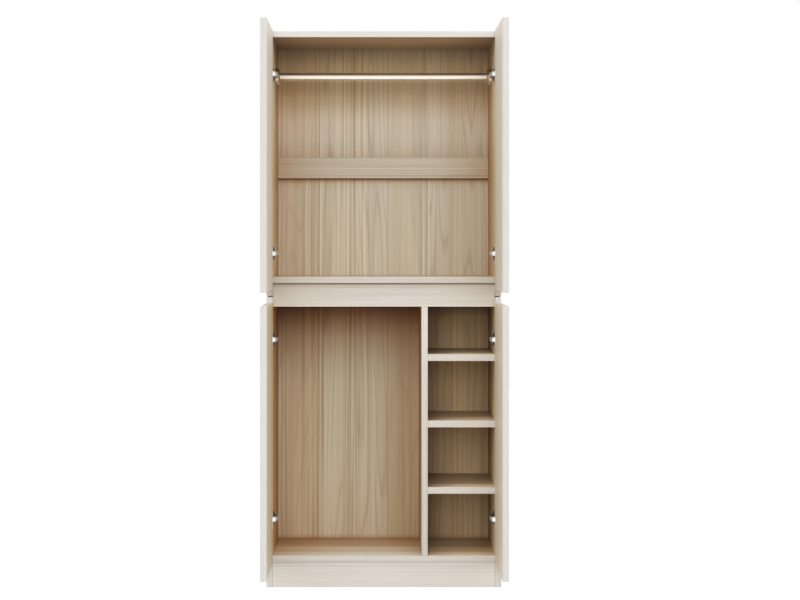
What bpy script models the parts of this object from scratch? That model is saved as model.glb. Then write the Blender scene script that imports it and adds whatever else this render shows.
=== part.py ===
"""Two-tier wardrobe with four swing doors on concealed cup hinges, shown with its doors open.

The front faces -Y and +Z is up. The origin lies on the floor, at the middle of the box that holds the
wardrobe with its doors standing open at a right angle. Hinge pieces are drawn in the plan of the left
side: "inward" is measured from the outer face of the side panel, "forward" from the front of the case.
"""

import math

import bmesh
import bpy
from mathutils import Vector

MM = 0.001

# Case
WIDTH = 760 * MM
HEIGHT = 1800 * MM
SIDE_DEPTH = 415 * MM
BOARD = 20 * MM
SHELF_BOARD = 22 * MM
EDGE_ROUND = 0.8 * MM
SEAT = 0.3 * MM
SEAM_CHAMFER = 2.5 * MM

# Heights and places inside the case
PLINTH_HEIGHT = 82 * MM
PLINTH_SETBACK = 1 * MM
GRIP_GAP = 42 * MM
UPPER_FLOOR_RISE = 43 * MM
MID_RAIL_HEIGHT = 76 * MM
MID_RAIL_SETBACK = 4.5 * MM
COLUMN_WIDTH = 218 * MM
LOWEST_CUBBY = 200 * MM
SHELF_PITCH = 215 * MM
SHELF_NAMES = ("shelf_bottom", "shelf_middle", "shelf_top")

# Back sheets in their grooves
BACK_INSET = 17 * MM
BACK_SHEET = 5 * MM
GROOVE_DEPTH = 8 * MM
BACK_RAIL_HEIGHT = 70 * MM
BACK_RAIL_DROP = 373 * MM

# Dowels between the side halves
DOWEL_RADIUS = 4 * MM
DOWEL_REACH = 15 * MM
DOWEL_INSET = 60 * MM

# Hanging rail and its end sockets
RAIL_RADIUS = 12.5 * MM
RAIL_WALL = 1.2 * MM
RAIL_DROP = 111 * MM
RAIL_SETBACK = 200 * MM
SOCKET_RADIUS = 27.5 * MM
SOCKET_RIM = 3 * MM
SOCKET_HEIGHT = 16 * MM
SOCKET_FLOOR = 2.5 * MM
SOCKET_LIP = 3.2 * MM

# Doors and their gaps to the case
DOOR_BOARD = 20 * MM
REVEAL = 1 * MM
CLOSED_GAP = 3 * MM
MEETING_GAP = 3 * MM
OPEN_GAP = 7 * MM
OPEN_INSET = 1 * MM
HINGE_FROM_GRIP = 118 * MM
HINGE_FROM_END = 140 * MM

# Hinge cup and flange
CUP_RADIUS = 17.5 * MM
CUP_DEPTH = 13 * MM
CUP_EDGE = 3 * MM
CUP_WALL = 1 * MM
CUP_FLOOR = 0.8 * MM
CUP_RIM = 0.8 * MM
WELL_WIDTH = 16 * MM
FLANGE_LENGTH = 64 * MM
FLANGE_WIDTH = 20 * MM
FLANGE_SHEET = 1.3 * MM

# Hinge links: cup pin from the bore's edge and below the door face, reach of the arm pin from the pole
OUTER_PIN_IN = 5.5 * MM
OUTER_PIN_DEEP = 6 * MM
OUTER_REACH = 26 * MM
INNER_PIN_IN = 7.5 * MM
INNER_PIN_DEEP = 2.5 * MM
INNER_REACH = 28 * MM
LINK_SHEET = 2 * MM
LINK_EYE = 2 * MM
INNER_LINK_WIDTH = 7.6 * MM
CHEEK_SHEET = 1.2 * MM
LINK_GAP = 0.6 * MM
EYE_PROUD = 0.1 * MM
OUTER_KNEES = (Vector((4.0, 1.3)) * MM, Vector((10.2, -0.7)) * MM)
INNER_KNEES = (Vector((3.5, 1.2)) * MM, Vector((8.5, -2.5)) * MM)

# Cup pins and the hooks of the outer link that ride on them
CUP_PIN_RADIUS = 0.8 * MM
HOOK_GAP = 0.65 * MM
HOOK_SLACK = 1.35 * MM
HOOK_WALL = 0.7 * MM

# Hinge arm and its mounting plate
PIN_RADIUS = 1 * MM
PIN_CLEARANCE = 0.3 * MM
ARM_BOSS = 2.6 * MM
ARM_LENGTH = 72 * MM
ARM_SLOPE = 14 * MM
ARM_SHEET = 1.1 * MM
ARM_NOSE = 10 * MM
NOSE_LEAN = 120
PLATE_SHEET = 2.5 * MM
PLATE_WIDTH = 17 * MM
PLATE_FRONT = 20 * MM
BLOCK_LENGTH = 26 * MM

# Facets of round pieces, the angles that tell a square edge and a soft one, and the weld of a turned seam
FINE = 28
MEDIUM = 24
COARSE = 10
SMALL = 8
DOME_STEPS = 6
NOSE_STEPS = 5
SQUARE_EDGE = math.radians(75)
SOFT_EDGE = math.radians(30)
WELD = MM / 1000

# Places worked out from the sizes above
HALF_WIDTH = WIDTH / 2
INSIDE = HALF_WIDTH - BOARD
DOOR_WIDTH = HALF_WIDTH - REVEAL - MEETING_GAP / 2
DOOR_HEIGHT = (HEIGHT - PLINTH_HEIGHT - GRIP_GAP) / 2
SPLIT = (HEIGHT + PLINTH_HEIGHT) / 2
CASE_FRONT = (OPEN_GAP + DOOR_WIDTH - SIDE_DEPTH) / 2
CASE_BACK = CASE_FRONT + SIDE_DEPTH
BACK_FACE = CASE_BACK - BACK_INSET
BOTTOM_TOP = PLINTH_HEIGHT + BOARD
UPPER_FLOOR_UNDER = SPLIT + UPPER_FLOOR_RISE
CEILING = HEIGHT - BOARD
DIVIDER_RIGHT = INSIDE - COLUMN_WIDTH

# Door pole: the point that a closed door turns about, a quarter turn, to reach its open place
POLE = Vector((
    (CLOSED_GAP + DOOR_BOARD + OPEN_INSET - OPEN_GAP + REVEAL) / 2,
    (CLOSED_GAP + DOOR_BOARD + OPEN_INSET + OPEN_GAP - REVEAL) / 2,
))
CUP_CENTRE = OPEN_GAP + CUP_EDGE + CUP_RADIUS
DOOR_FACE = OPEN_INSET + DOOR_BOARD


def opened(point):
    """Where a point of the closed door lies once the door has turned a quarter about its pole."""
    arm = point - POLE
    return POLE + Vector((-arm.y, arm.x))


def arm_pin(closed_pin, reach):
    """A fixed pin equally far from the cup pin's closed and open places, at a reach from the pole."""
    middle = (closed_pin + opened(closed_pin)) / 2
    return POLE + (middle - POLE).normalized() * reach


OUTER_CUP_PIN = Vector((REVEAL + CUP_EDGE + OUTER_PIN_IN, CLOSED_GAP + OUTER_PIN_DEEP))
INNER_CUP_PIN = Vector((REVEAL + CUP_EDGE + INNER_PIN_IN, CLOSED_GAP + INNER_PIN_DEEP))
OUTER_ARM_PIN = arm_pin(OUTER_CUP_PIN, OUTER_REACH)
INNER_ARM_PIN = arm_pin(INNER_CUP_PIN, INNER_REACH)
CHEEK_INSIDE = INNER_LINK_WIDTH / 2 + LINK_GAP
CHEEK_OUTSIDE = CHEEK_INSIDE + CHEEK_SHEET
ARM_WIDTH = 2 * CHEEK_OUTSIDE + LINK_GAP + 2 * ARM_SHEET


def clear_scene():
    for old in list(bpy.data.objects):
        bpy.data.objects.remove(old, do_unlink=True)


def make_material(name, colour, roughness, metallic):
    material = bpy.data.materials.new(name)
    material.use_nodes = True
    shader = material.node_tree.nodes["Principled BSDF"]
    shader.inputs["Base Color"].default_value = (*colour, 1.0)
    shader.inputs["Roughness"].default_value = roughness
    shader.inputs["Metallic"].default_value = metallic
    return material


def as_mesh(name, shape):
    """A closed mesh, facing out, from a bmesh."""
    bmesh.ops.recalc_face_normals(shape, faces=shape.faces)
    mesh = bpy.data.meshes.new(name)
    shape.to_mesh(mesh)
    shape.free()
    return mesh


def box(low, high, round_off=0.0, chamfered_end=None):
    """A board between two corners, with rounded edges; chamfered_end is the height of a V-jointed end."""
    low = Vector(low)
    high = Vector(high)
    shape = bmesh.new()
    bmesh.ops.create_cube(shape, size=1.0)
    for corner in shape.verts:
        corner.co = Vector(h if c > 0 else l for c, l, h in zip(corner.co, low, high))
    if chamfered_end is not None:
        joint = [e for e in shape.edges if all(abs(v.co.z - chamfered_end) < EDGE_ROUND for v in e.verts)]
        bmesh.ops.bevel(shape, geom=joint, offset=SEAM_CHAMFER, segments=1, affect="EDGES")
    if round_off:
        square = [e for e in shape.edges if e.calc_face_angle() > SQUARE_EDGE]
        bmesh.ops.bevel(shape, geom=square, offset=round_off, segments=1, affect="EDGES")
    return as_mesh("board", shape)


def prism(outline, axis, low, high):
    """An outline in the plane across an axis (0, 1 or 2), drawn out along it from low to high."""
    shape = bmesh.new()
    corners = []
    for point in outline:
        place = list(point)
        place.insert(axis, low)
        corners.append(shape.verts.new(place))
    face = shape.faces.new(corners)
    drawn = bmesh.ops.extrude_face_region(shape, geom=[face])
    moved = [part for part in drawn["geom"] if isinstance(part, bmesh.types.BMVert)]
    shift = Vector((0.0, 0.0, 0.0))
    shift[axis] = high - low
    bmesh.ops.translate(shape, vec=shift, verts=moved)
    return as_mesh("prism", shape)


def arc(centre, radius, start, end, steps):
    """Points on an arc, its angles in degrees."""
    angles = (math.radians(start + (end - start) * i / steps) for i in range(steps + 1))
    return [Vector((centre[0] + radius * math.cos(a), centre[1] + radius * math.sin(a))) for a in angles]


def disc(centre, radius, steps):
    return arc(centre, radius, 0, 360 - 360 / steps, steps - 1)


def turned(profile, steps):
    """A solid of revolution about X from (radius, along) points that start and end on the axis."""
    shape = bmesh.new()
    line = [shape.verts.new((along, radius, 0.0)) for radius, along in profile]
    edges = [shape.edges.new(pair) for pair in zip(line, line[1:])]
    bmesh.ops.spin(
        shape, geom=line + edges, cent=(0, 0, 0), axis=(1, 0, 0), angle=2 * math.pi, steps=steps,
        use_merge=True, use_duplicate=False)
    bmesh.ops.remove_doubles(shape, verts=shape.verts, dist=WELD)
    return as_mesh("turned", shape)


def shaped(name, solids, cutters=()):
    """One mesh from solids joined together, less the cutters."""
    blank, *rest = [bpy.data.objects.new(f"{name}_{i}", m) for i, m in enumerate([*solids, *cutters])]
    for helper in (blank, *rest):
        bpy.context.collection.objects.link(helper)
    for i, helper in enumerate(rest, start=1):
        step = blank.modifiers.new(helper.name, "BOOLEAN")
        step.operation = "UNION" if i < len(solids) else "DIFFERENCE"
        step.solver = "EXACT"
        step.object = helper
    graph = bpy.context.evaluated_depsgraph_get()
    mesh = bpy.data.meshes.new_from_object(blank.evaluated_get(graph))
    mesh.name = name
    for helper in (blank, *rest):
        bpy.data.objects.remove(helper, do_unlink=True)
    return mesh


def place(name, mesh, material, location=(0, 0, 0), turned_over=False, parent=None):
    """A named piece; turned_over puts a piece drawn for the left side on the right one."""
    mesh.materials.clear()
    mesh.materials.append(material)
    mesh.shade_smooth()
    mesh.set_sharp_from_angle(angle=SOFT_EDGE)
    piece = bpy.data.objects.new(name, mesh)
    bpy.context.collection.objects.link(piece)
    piece.location = location
    piece.rotation_euler = (0, math.pi if turned_over else 0, 0)
    piece.parent = parent
    return piece


def place_board(name, low, high, material, parent):
    """A rectangular board, with its origin at its middle."""
    middle = (Vector(low) + Vector(high)) / 2
    mesh = box(Vector(low) - middle, Vector(high) - middle, EDGE_ROUND)
    return place(name, mesh, material, middle, parent=parent)


def make_axis(name, location, turned_over, parent):
    """An empty on a joint axis, to carry what turns about it."""
    axis = bpy.data.objects.new(name, None)
    bpy.context.collection.objects.link(axis)
    axis.location = location
    axis.rotation_euler = (0, math.pi if turned_over else 0, 0)
    axis.parent = parent
    return axis


def make_sides(oak, case):
    """Side panels in two halves, with a groove for the back and dowels across the joint."""
    groove_low = BACK_FACE - SEAT
    groove_high = BACK_FACE + BACK_SHEET + SEAT
    dowel_places = (CASE_FRONT + DOWEL_INSET, BACK_FACE - DOWEL_INSET)
    for side, hand in (("left", -1), ("right", 1)):
        across = sorted((hand * HALF_WIDTH, hand * INSIDE))
        groove_across = sorted((hand * (INSIDE - BOARD), hand * (INSIDE + GROOVE_DEPTH)))
        groove = (
            (groove_across[0], groove_low, -BOARD),
            (groove_across[1], groove_high, HEIGHT + BOARD),
        )
        middle = hand * (HALF_WIDTH - BOARD / 2)
        lower_top = SPLIT - SEAT / 2
        upper_bottom = SPLIT + SEAT / 2

        lower = box((across[0], CASE_FRONT, 0), (across[1], CASE_BACK, lower_top), EDGE_ROUND, lower_top)
        dowels = []
        bores = []
        for y in dowel_places:
            pin = disc((middle, y), DOWEL_RADIUS, COARSE)
            bore = disc((middle, y), DOWEL_RADIUS + SEAT, COARSE)
            dowels.append(prism(pin, 2, lower_top - DOWEL_REACH, lower_top + DOWEL_REACH))
            bores.append(prism(bore, 2, upper_bottom - DOWEL_REACH, lower_top + DOWEL_REACH + SEAT))
        lower = shaped("side_lower", [lower, *dowels], [box(*groove)])
        place(f"side_{side}_lower", lower, oak, parent=case)

        upper = box(
            (across[0], CASE_FRONT, upper_bottom), (across[1], CASE_BACK, HEIGHT), EDGE_ROUND, upper_bottom)
        upper = shaped("side_upper", [upper], [box(*groove), *bores])
        place(f"side_{side}_upper", upper, oak, parent=case)


def make_panels(oak, case):
    """The level boards, the rails and the plinth between the sides."""
    end = INSIDE - SEAT
    back = BACK_FACE - SEAT
    top_profile = [
        (CASE_FRONT, CEILING),
        (back, CEILING),
        (back, CEILING + GROOVE_DEPTH),
        (BACK_FACE + BACK_SHEET + SEAT, CEILING + GROOVE_DEPTH),
        (BACK_FACE + BACK_SHEET + SEAT, CEILING),
        (CASE_BACK, CEILING),
        (CASE_BACK, HEIGHT),
        (CASE_FRONT, HEIGHT),
    ]
    place("top_panel", prism(top_profile, 0, -end, end), oak, parent=case)
    rail_front = CASE_FRONT + MID_RAIL_SETBACK
    rail_low = UPPER_FLOOR_UNDER - SEAT - MID_RAIL_HEIGHT
    rail_high = UPPER_FLOOR_UNDER - SEAT
    plinth_front = CASE_FRONT + PLINTH_SETBACK
    plinth_high = PLINTH_HEIGHT - SEAT
    back_rail_high = CEILING - BACK_RAIL_DROP
    boards = {
        "upper_floor": ((CASE_FRONT, UPPER_FLOOR_UNDER), (back, UPPER_FLOOR_UNDER + BOARD)),
        "mid_rail": ((rail_front, rail_low), (rail_front + BOARD, rail_high)),
        "rear_rail": ((back - BOARD, rail_low), (back, rail_high)),
        "bottom_panel": ((CASE_FRONT, PLINTH_HEIGHT), (back, BOTTOM_TOP)),
        "plinth": ((plinth_front, 0), (plinth_front + BOARD, plinth_high)),
        "rear_plinth": ((back - BOARD, 0), (back, plinth_high)),
        "back_rail": ((back - BOARD, back_rail_high - BACK_RAIL_HEIGHT), (back, back_rail_high)),
    }
    for name, (low, high) in boards.items():
        place_board(name, (-end, *low), (end, *high), oak, case)


def make_column(oak, case):
    """The divider, notched round the mid rail and the rear rail, and the shelves beside it."""
    back = BACK_FACE - SEAT
    notch_front = CASE_FRONT + MID_RAIL_SETBACK + BOARD + SEAT
    notch_back = back - BOARD - SEAT
    notch_low = UPPER_FLOOR_UNDER - 2 * SEAT - MID_RAIL_HEIGHT
    high = UPPER_FLOOR_UNDER - SEAT
    low = BOTTOM_TOP + SEAT
    profile = [
        (CASE_FRONT, low),
        (back, low),
        (back, notch_low),
        (notch_back, notch_low),
        (notch_back, high),
        (notch_front, high),
        (notch_front, notch_low),
        (CASE_FRONT, notch_low),
    ]
    place("divider", prism(profile, 0, DIVIDER_RIGHT - BOARD, DIVIDER_RIGHT), oak, parent=case)
    for i, name in enumerate(SHELF_NAMES):
        under = BOTTOM_TOP + LOWEST_CUBBY + i * SHELF_PITCH
        low_corner = (DIVIDER_RIGHT + SEAT, CASE_FRONT, under)
        high_corner = (INSIDE - SEAT, back, under + SHELF_BOARD)
        place_board(name, low_corner, high_corner, oak, case)


def make_back(print_oak, case):
    """Two back sheets in the side grooves, meeting behind the rear rail."""
    reach = INSIDE + GROOVE_DEPTH - SEAT
    sheets = {
        "back_panel_lower": (PLINTH_HEIGHT, SPLIT - SEAT / 2),
        "back_panel_upper": (SPLIT + SEAT / 2, CEILING + GROOVE_DEPTH - SEAT),
    }
    for name, (low, high) in sheets.items():
        place_board(name, (-reach, BACK_FACE, low), (reach, BACK_FACE + BACK_SHEET, high), print_oak, case)


def make_rail(chrome, case):
    """The hanging rail, a tube with its ends in two domed sockets on the side panels."""
    height = CEILING - RAIL_DROP
    depth = CASE_FRONT + RAIL_SETBACK
    half = INSIDE - SEAT - SOCKET_FLOOR - SEAT
    tube = shaped(
        "hanging_rail",
        [prism(disc((0, 0), RAIL_RADIUS, MEDIUM), 0, -half, half)],
        [prism(disc((0, 0), RAIL_RADIUS - RAIL_WALL, MEDIUM), 0, -half - BOARD, half + BOARD)],
    )
    place("hanging_rail", tube, chrome, (0, depth, height), parent=case)

    bore = RAIL_RADIUS + SEAT
    lip = bore + SOCKET_LIP
    dome = [
        (lip + (SOCKET_RADIUS - lip) * math.cos(t), SOCKET_RIM + (SOCKET_HEIGHT - SOCKET_RIM) * math.sin(t))
        for t in (math.pi / 2 * i / DOME_STEPS for i in range(DOME_STEPS + 1))
    ]
    profile = [
        (0, 0), (SOCKET_RADIUS, 0), *dome, (bore, SOCKET_HEIGHT), (bore, SOCKET_FLOOR), (0, SOCKET_FLOOR),
    ]
    for side, hand in (("left", -1), ("right", 1)):
        place(
            f"rail_socket_{side}", turned(profile, FINE), chrome,
            (hand * (INSIDE - SEAT), depth, height), hand > 0, case)


def drawn_strip(line, thickness):
    """The outline of a bent strip of even thickness along a line of points."""
    sides = ([], [])
    for i, point in enumerate(line):
        before = (point - line[max(i - 1, 0)]).normalized()
        after = (line[min(i + 1, len(line) - 1)] - point).normalized()
        along = (before + after).normalized()
        across = Vector((-along.y, along.x))
        spread = thickness / 2 / max(along.dot(after), along.dot(before))
        sides[0].append(point + across * spread)
        sides[1].append(point - across * spread)
    return sides[0] + sides[1][::-1]


def in_plan(points, origin):
    """Inward and forward distances as X and -Y about an origin."""
    return [(p[0] - origin[0], origin[1] - p[1]) for p in points]


def link_line(arm_pin_place, cup_pin, knees):
    """The bent middle line of a link, from its arm pin to its open cup pin."""
    return [arm_pin_place, *(cup_pin + knee for knee in reversed(knees)), cup_pin]


def rolled_eye(pin, half):
    """A tube for an arm pin, and the bore through it."""
    tube = prism(in_plan(disc(pin, LINK_EYE + PIN_CLEARANCE, COARSE), pin), 2, -half, half)
    bore = prism(in_plan(disc(pin, PIN_RADIUS + PIN_CLEARANCE, COARSE), pin), 2, -BOARD, BOARD)
    return tube, bore


def make_outer_link():
    """Two cranked cheeks on a rolled eye, straddling the inner link, hooked over the pins of the cup.

    The hooks open towards the arm, because the cup pins draw in that way in the middle of a swing.
    """
    cup_pin = opened(OUTER_CUP_PIN)
    outward = (cup_pin - OUTER_ARM_PIN).normalized()
    pocket = CUP_PIN_RADIUS + HOOK_GAP
    pocket_end = cup_pin + outward * (HOOK_SLACK - HOOK_GAP)
    pocket_mouth = cup_pin - outward * CUP_RADIUS
    turn = math.degrees(math.atan2(outward.y, outward.x))
    strip = drawn_strip(link_line(OUTER_ARM_PIN, cup_pin, OUTER_KNEES), LINK_SHEET)
    cheek = in_plan(strip, OUTER_ARM_PIN)
    hook = in_plan(disc(pocket_end, pocket + HOOK_WALL, SMALL), OUTER_ARM_PIN)
    across = Vector((-outward.y, outward.x)) * pocket
    slot = in_plan([
        *arc(pocket_end, pocket, turn - 90, turn + 90, SMALL),
        pocket_mouth + across,
        pocket_mouth - across,
    ], OUTER_ARM_PIN)
    tube, bore = rolled_eye(OUTER_ARM_PIN, CHEEK_OUTSIDE)
    parts = [tube]
    for hand in (-1, 1):
        faces = sorted((hand * CHEEK_INSIDE, hand * CHEEK_OUTSIDE))
        parts.append(shaped("hooked_cheek", [
            prism(cheek, 2, faces[0] + EYE_PROUD, faces[1] - EYE_PROUD),
            prism(hook, 2, *faces),
        ], [prism(slot, 2, -BOARD, BOARD)]))
    return shaped("outer_link", parts, [bore])


def make_inner_link():
    """A cranked strip between the cheeks of the outer link, with a rolled eye at each end."""
    cup_pin = opened(INNER_CUP_PIN)
    half = INNER_LINK_WIDTH / 2
    strip = drawn_strip(link_line(INNER_ARM_PIN, cup_pin, INNER_KNEES), LINK_SHEET)
    tube, bore = rolled_eye(INNER_ARM_PIN, CHEEK_OUTSIDE)
    return shaped("inner_link", [
        tube,
        prism(in_plan(strip, INNER_ARM_PIN), 2, EYE_PROUD - half, half - EYE_PROUD),
        prism(in_plan(disc(cup_pin, LINK_EYE, SMALL), INNER_ARM_PIN), 2, -half, half),
    ], [bore])


def make_arm():
    """A pressed channel arm on its plate, with two cross pins for the links at its nose."""
    base = BOARD + SEAT
    top = INNER_ARM_PIN.x + ARM_BOSS
    embed = base + PLATE_SHEET / 2
    half = ARM_WIDTH / 2
    outline = [
        *arc(OUTER_ARM_PIN, ARM_BOSS, 180, NOSE_LEAN, NOSE_STEPS),
        *arc(INNER_ARM_PIN, ARM_BOSS, NOSE_LEAN, 0, NOSE_STEPS),
        Vector((top, ARM_SLOPE - ARM_LENGTH)),
        Vector((embed + ARM_BOSS, -ARM_LENGTH)),
        Vector((embed, -ARM_LENGTH)),
        Vector((embed, -PLATE_FRONT - ARM_BOSS)),
    ]
    flat = in_plan(outline, (0, 0))
    plate_end = ARM_LENGTH + ARM_BOSS
    parts = [box((base, PLATE_FRONT, -PLATE_WIDTH / 2), (base + PLATE_SHEET, plate_end, PLATE_WIDTH / 2))]
    for hand in (-1, 1):
        parts.append(prism(flat, 2, *sorted((hand * (half - ARM_SHEET), hand * half))))
    web_half = half - ARM_SHEET / 2
    web_end = ARM_LENGTH - ARM_SLOPE
    parts.append(box((top - ARM_SHEET, ARM_NOSE, -web_half), (top + EYE_PROUD, web_end, web_half)))
    block_front = (PLATE_FRONT + ARM_LENGTH - BLOCK_LENGTH) / 2
    parts.append(box(
        (embed, block_front, -web_half + EYE_PROUD),
        (top - ARM_SHEET / 2, block_front + BLOCK_LENGTH, web_half - EYE_PROUD)))
    for pin in (OUTER_ARM_PIN, INNER_ARM_PIN):
        rivet = half + EYE_PROUD
        parts.append(prism(in_plan(disc(pin, PIN_RADIUS, COARSE), (0, 0)), 2, -rivet, rivet))
    return shaped("hinge_arm", parts)


def make_cup():
    """A bored pot with a flange on the door's inner face; its well takes the ends of the links."""
    centre = (POLE.y - CUP_CENTRE, 0)
    face = DOOR_FACE - POLE.x
    seat = face + SEAT
    rim_top = seat + FLANGE_SHEET - EYE_PROUD
    well_radius = CUP_RADIUS - CUP_WALL
    open_angle = math.degrees(math.asin(WELL_WIDTH / 2 / well_radius))
    end = FLANGE_LENGTH / 2 - FLANGE_WIDTH / 2
    flange = [
        *arc((centre[0], end), FLANGE_WIDTH / 2, 0, 180, COARSE),
        *arc((centre[0], -end), FLANGE_WIDTH / 2, 180, 360, COARSE),
    ]
    well = [
        *arc(centre, well_radius, -open_angle, open_angle, SMALL),
        *arc(centre, well_radius, 180 - open_angle, 180 + open_angle, SMALL),
    ]
    pot = shaped("cup_pot", [
        prism(flange, 0, seat, seat + FLANGE_SHEET),
        prism(disc(centre, CUP_RADIUS + CUP_RIM, MEDIUM), 0, seat + EYE_PROUD, rim_top),
        prism(disc(centre, CUP_RADIUS, MEDIUM), 0, face - CUP_DEPTH, seat + FLANGE_SHEET / 2),
    ], [
        prism(well, 0, face - CUP_DEPTH + CUP_FLOOR, seat + BOARD),
    ])
    pin = in_plan(disc(opened(OUTER_CUP_PIN), CUP_PIN_RADIUS, SMALL), POLE)
    root = WELL_WIDTH / 2 + CUP_WALL
    tip = CHEEK_INSIDE - EYE_PROUD
    return shaped("hinge_cup", [pot, prism(pin, 2, tip, root), prism(pin, 2, -root, -tip)])


def make_door(hinge_heights):
    """A plain board with two cup bores, about its pole."""
    near = POLE.y - OPEN_GAP
    blank = box(
        (OPEN_INSET - POLE.x, near - DOOR_WIDTH, -DOOR_HEIGHT / 2),
        (DOOR_FACE - POLE.x, near, DOOR_HEIGHT / 2),
        EDGE_ROUND,
    )
    face = DOOR_FACE - POLE.x
    bores = []
    for z in hinge_heights:
        round_bore = disc((POLE.y - CUP_CENTRE, z), CUP_RADIUS + SEAT, MEDIUM)
        bores.append(prism(round_bore, 0, face - CUP_DEPTH - SEAT, face + BOARD))
    return shaped("door", [blank], bores)


def make_doors(oak, nickel, case):
    """Four doors, each with two hinges; what turns hangs on an empty on its axis."""
    cup = make_cup()
    arm = make_arm()
    outer_link = make_outer_link()
    inner_link = make_inner_link()
    for tier, base, toward_grip in (("lower", PLINTH_HEIGHT, 1), ("upper", HEIGHT - DOOR_HEIGHT, -1)):
        middle = base + DOOR_HEIGHT / 2
        grip_hinge = toward_grip * (DOOR_HEIGHT / 2 - HINGE_FROM_GRIP)
        end_hinge = -toward_grip * (DOOR_HEIGHT / 2 - HINGE_FROM_END)
        for side, hand in (("left", -1), ("right", 1)):
            turned_over = hand > 0
            where = f"{tier}_{side}"
            heights = {"grip": -hand * grip_hinge, "end": -hand * end_hinge}

            def spot(plan, z=0.0):
                return (hand * (HALF_WIDTH - plan[0]), CASE_FRONT - plan[1], middle + z)

            swing = make_axis(f"swing_{where}", spot(POLE), turned_over, case)
            place(f"door_{where}", make_door(heights.values()), oak, parent=swing)
            for end, local in heights.items():
                z = -hand * local
                hinge = f"{where}_{end}"
                place(f"hinge_cup_{hinge}", cup, nickel, (0, 0, local), parent=swing)
                place(f"hinge_arm_{hinge}", arm, nickel, spot((0, 0), z), turned_over, case)
                place(f"outer_link_{hinge}", outer_link, nickel, spot(OUTER_ARM_PIN, z), turned_over, case)
                place(f"inner_link_{hinge}", inner_link, nickel, spot(INNER_ARM_PIN, z), turned_over, case)


def main():
    clear_scene()
    oak = make_material("pale_oak_board", (0.62, 0.54, 0.43), 0.5, 0.0)
    print_oak = make_material("pale_oak_back_sheet", (0.52, 0.41, 0.27), 0.6, 0.0)
    chrome = make_material("rail_chrome", (0.78, 0.78, 0.78), 0.15, 1.0)
    nickel = make_material("hinge_nickel", (0.72, 0.71, 0.68), 0.25, 1.0)
    case = make_axis("case", (0, 0, 0), False, None)
    make_sides(oak, case)
    make_panels(oak, case)
    make_column(oak, case)
    make_back(print_oak, case)
    make_rail(chrome, case)
    make_doors(oak, nickel, case)


main()
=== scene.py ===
"""Looks of a two-tier oak wardrobe: banded boards, a chrome hanging rail, nickel cup hinges, a white studio.

Lengths are metres in the frame's own axes: +Z is up and -Y is out of the front. Boards and metal pieces are
outlines carried along an axis, worked out as whole arrays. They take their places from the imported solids.
"""

import math

import bpy
import numpy as np
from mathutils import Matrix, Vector


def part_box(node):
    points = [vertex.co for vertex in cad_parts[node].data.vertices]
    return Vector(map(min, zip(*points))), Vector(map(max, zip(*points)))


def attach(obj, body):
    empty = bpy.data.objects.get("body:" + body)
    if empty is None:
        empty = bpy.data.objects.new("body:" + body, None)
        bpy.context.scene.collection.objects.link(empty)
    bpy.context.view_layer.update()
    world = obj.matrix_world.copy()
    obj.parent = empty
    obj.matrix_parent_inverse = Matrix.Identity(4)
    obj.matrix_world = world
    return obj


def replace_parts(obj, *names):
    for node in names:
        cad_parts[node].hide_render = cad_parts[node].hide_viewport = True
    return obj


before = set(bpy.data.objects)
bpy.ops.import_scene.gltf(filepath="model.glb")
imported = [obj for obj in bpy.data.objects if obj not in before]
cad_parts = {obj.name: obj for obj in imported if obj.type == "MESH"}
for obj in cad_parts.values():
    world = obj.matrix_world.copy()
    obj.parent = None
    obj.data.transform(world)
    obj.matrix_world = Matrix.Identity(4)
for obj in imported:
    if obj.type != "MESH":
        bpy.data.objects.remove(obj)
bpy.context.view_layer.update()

MM = 0.001
X, Y, Z = 0, 1, 2

# Boards: their rounded edges, the V joint of the sides, the groove of the mid rail, the play between pieces,
# a place past them all, and a least divisor
EDGE_RADIUS = 1.0 * MM
EDGE_STEPS = 3
LEAST_RADIUS = 0.2 * MM
END_ROUND = 0.8 * MM
TIGHT_RADIUS = 0.3 * MM
V_JOINT_HEIGHT = 2.0 * MM
V_JOINT_DEPTH = 6.0 * MM
QUIRK_HEIGHT = 4.5 * MM
QUIRK_DEPTH = 6.0 * MM
SEAT = 0.3 * MM
FAR = 3.0
TINY = 1e-6

# Finishes of a board by their number in its mesh: its two wide faces, its edges and ends, its joints and cuts
LOW_FACE, HIGH_FACE, EDGE_BAND, CUT = range(4)

# Each board is cut from its own place on the printed sheet, so that no two share a figure
SHEET_STEP_ACROSS = 1.37
SHEET_STEP_ALONG = 2.11
FIRST_DOOR_SHEET = 20

# Grain of the oak: each noise's waves in a metre across and along the grain, detail, roughness and swing
WANDER = ((5, 0.8, 1), 2, 0.5, 10 * MM)
FINE_LINES = ((230, 0.6, 1), 2, 0.6, 1.5)
BROAD_LINES = ((70, 0.5, 1), 2, 0.5, 0.4)
PIN_LINES = ((75, 0.35, 1), 1, 0.5, 12.0)
PIN_DEPTH = 0.24
CLUMPS = ((11, 0.25, 1), 1, 0.5, 4.5)
CLUMP_MIDDLE = 0.55
CLUMP_LIMITS = (0.25, 1.25)
CLOUDS = ((13, 0.6, 1), 2, 0.5, 1.0)
FIBRES = ((1400, 20, 1), 2, 0.6, 1.0)
# The figure's field has no swing: its height is turned by radians, and the sine is sharpened by a power
FIGURE_FIELD = ((7.0, 0.5, 1), 1.5, 0.5)
FIGURE_TURN = 110.0
FIGURE_POWER = 6.0

# Strength of each part of the grain in the tone, the gloss and the bump
MIDDLE_TONE = 0.63
LINE_STRENGTH = 1.3
CLOUD_STRENGTH = 0.9
FIGURE_STRENGTH = -0.10
PLANK_FIGURE_STRENGTH = -0.42
FIBRE_STRENGTH = 0.4
OAK_ROUGHNESS = 0.5
FIBRE_GLOSS = 0.25
FIBRE_BUMP = (0.2 * MM, 0.25)

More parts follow.
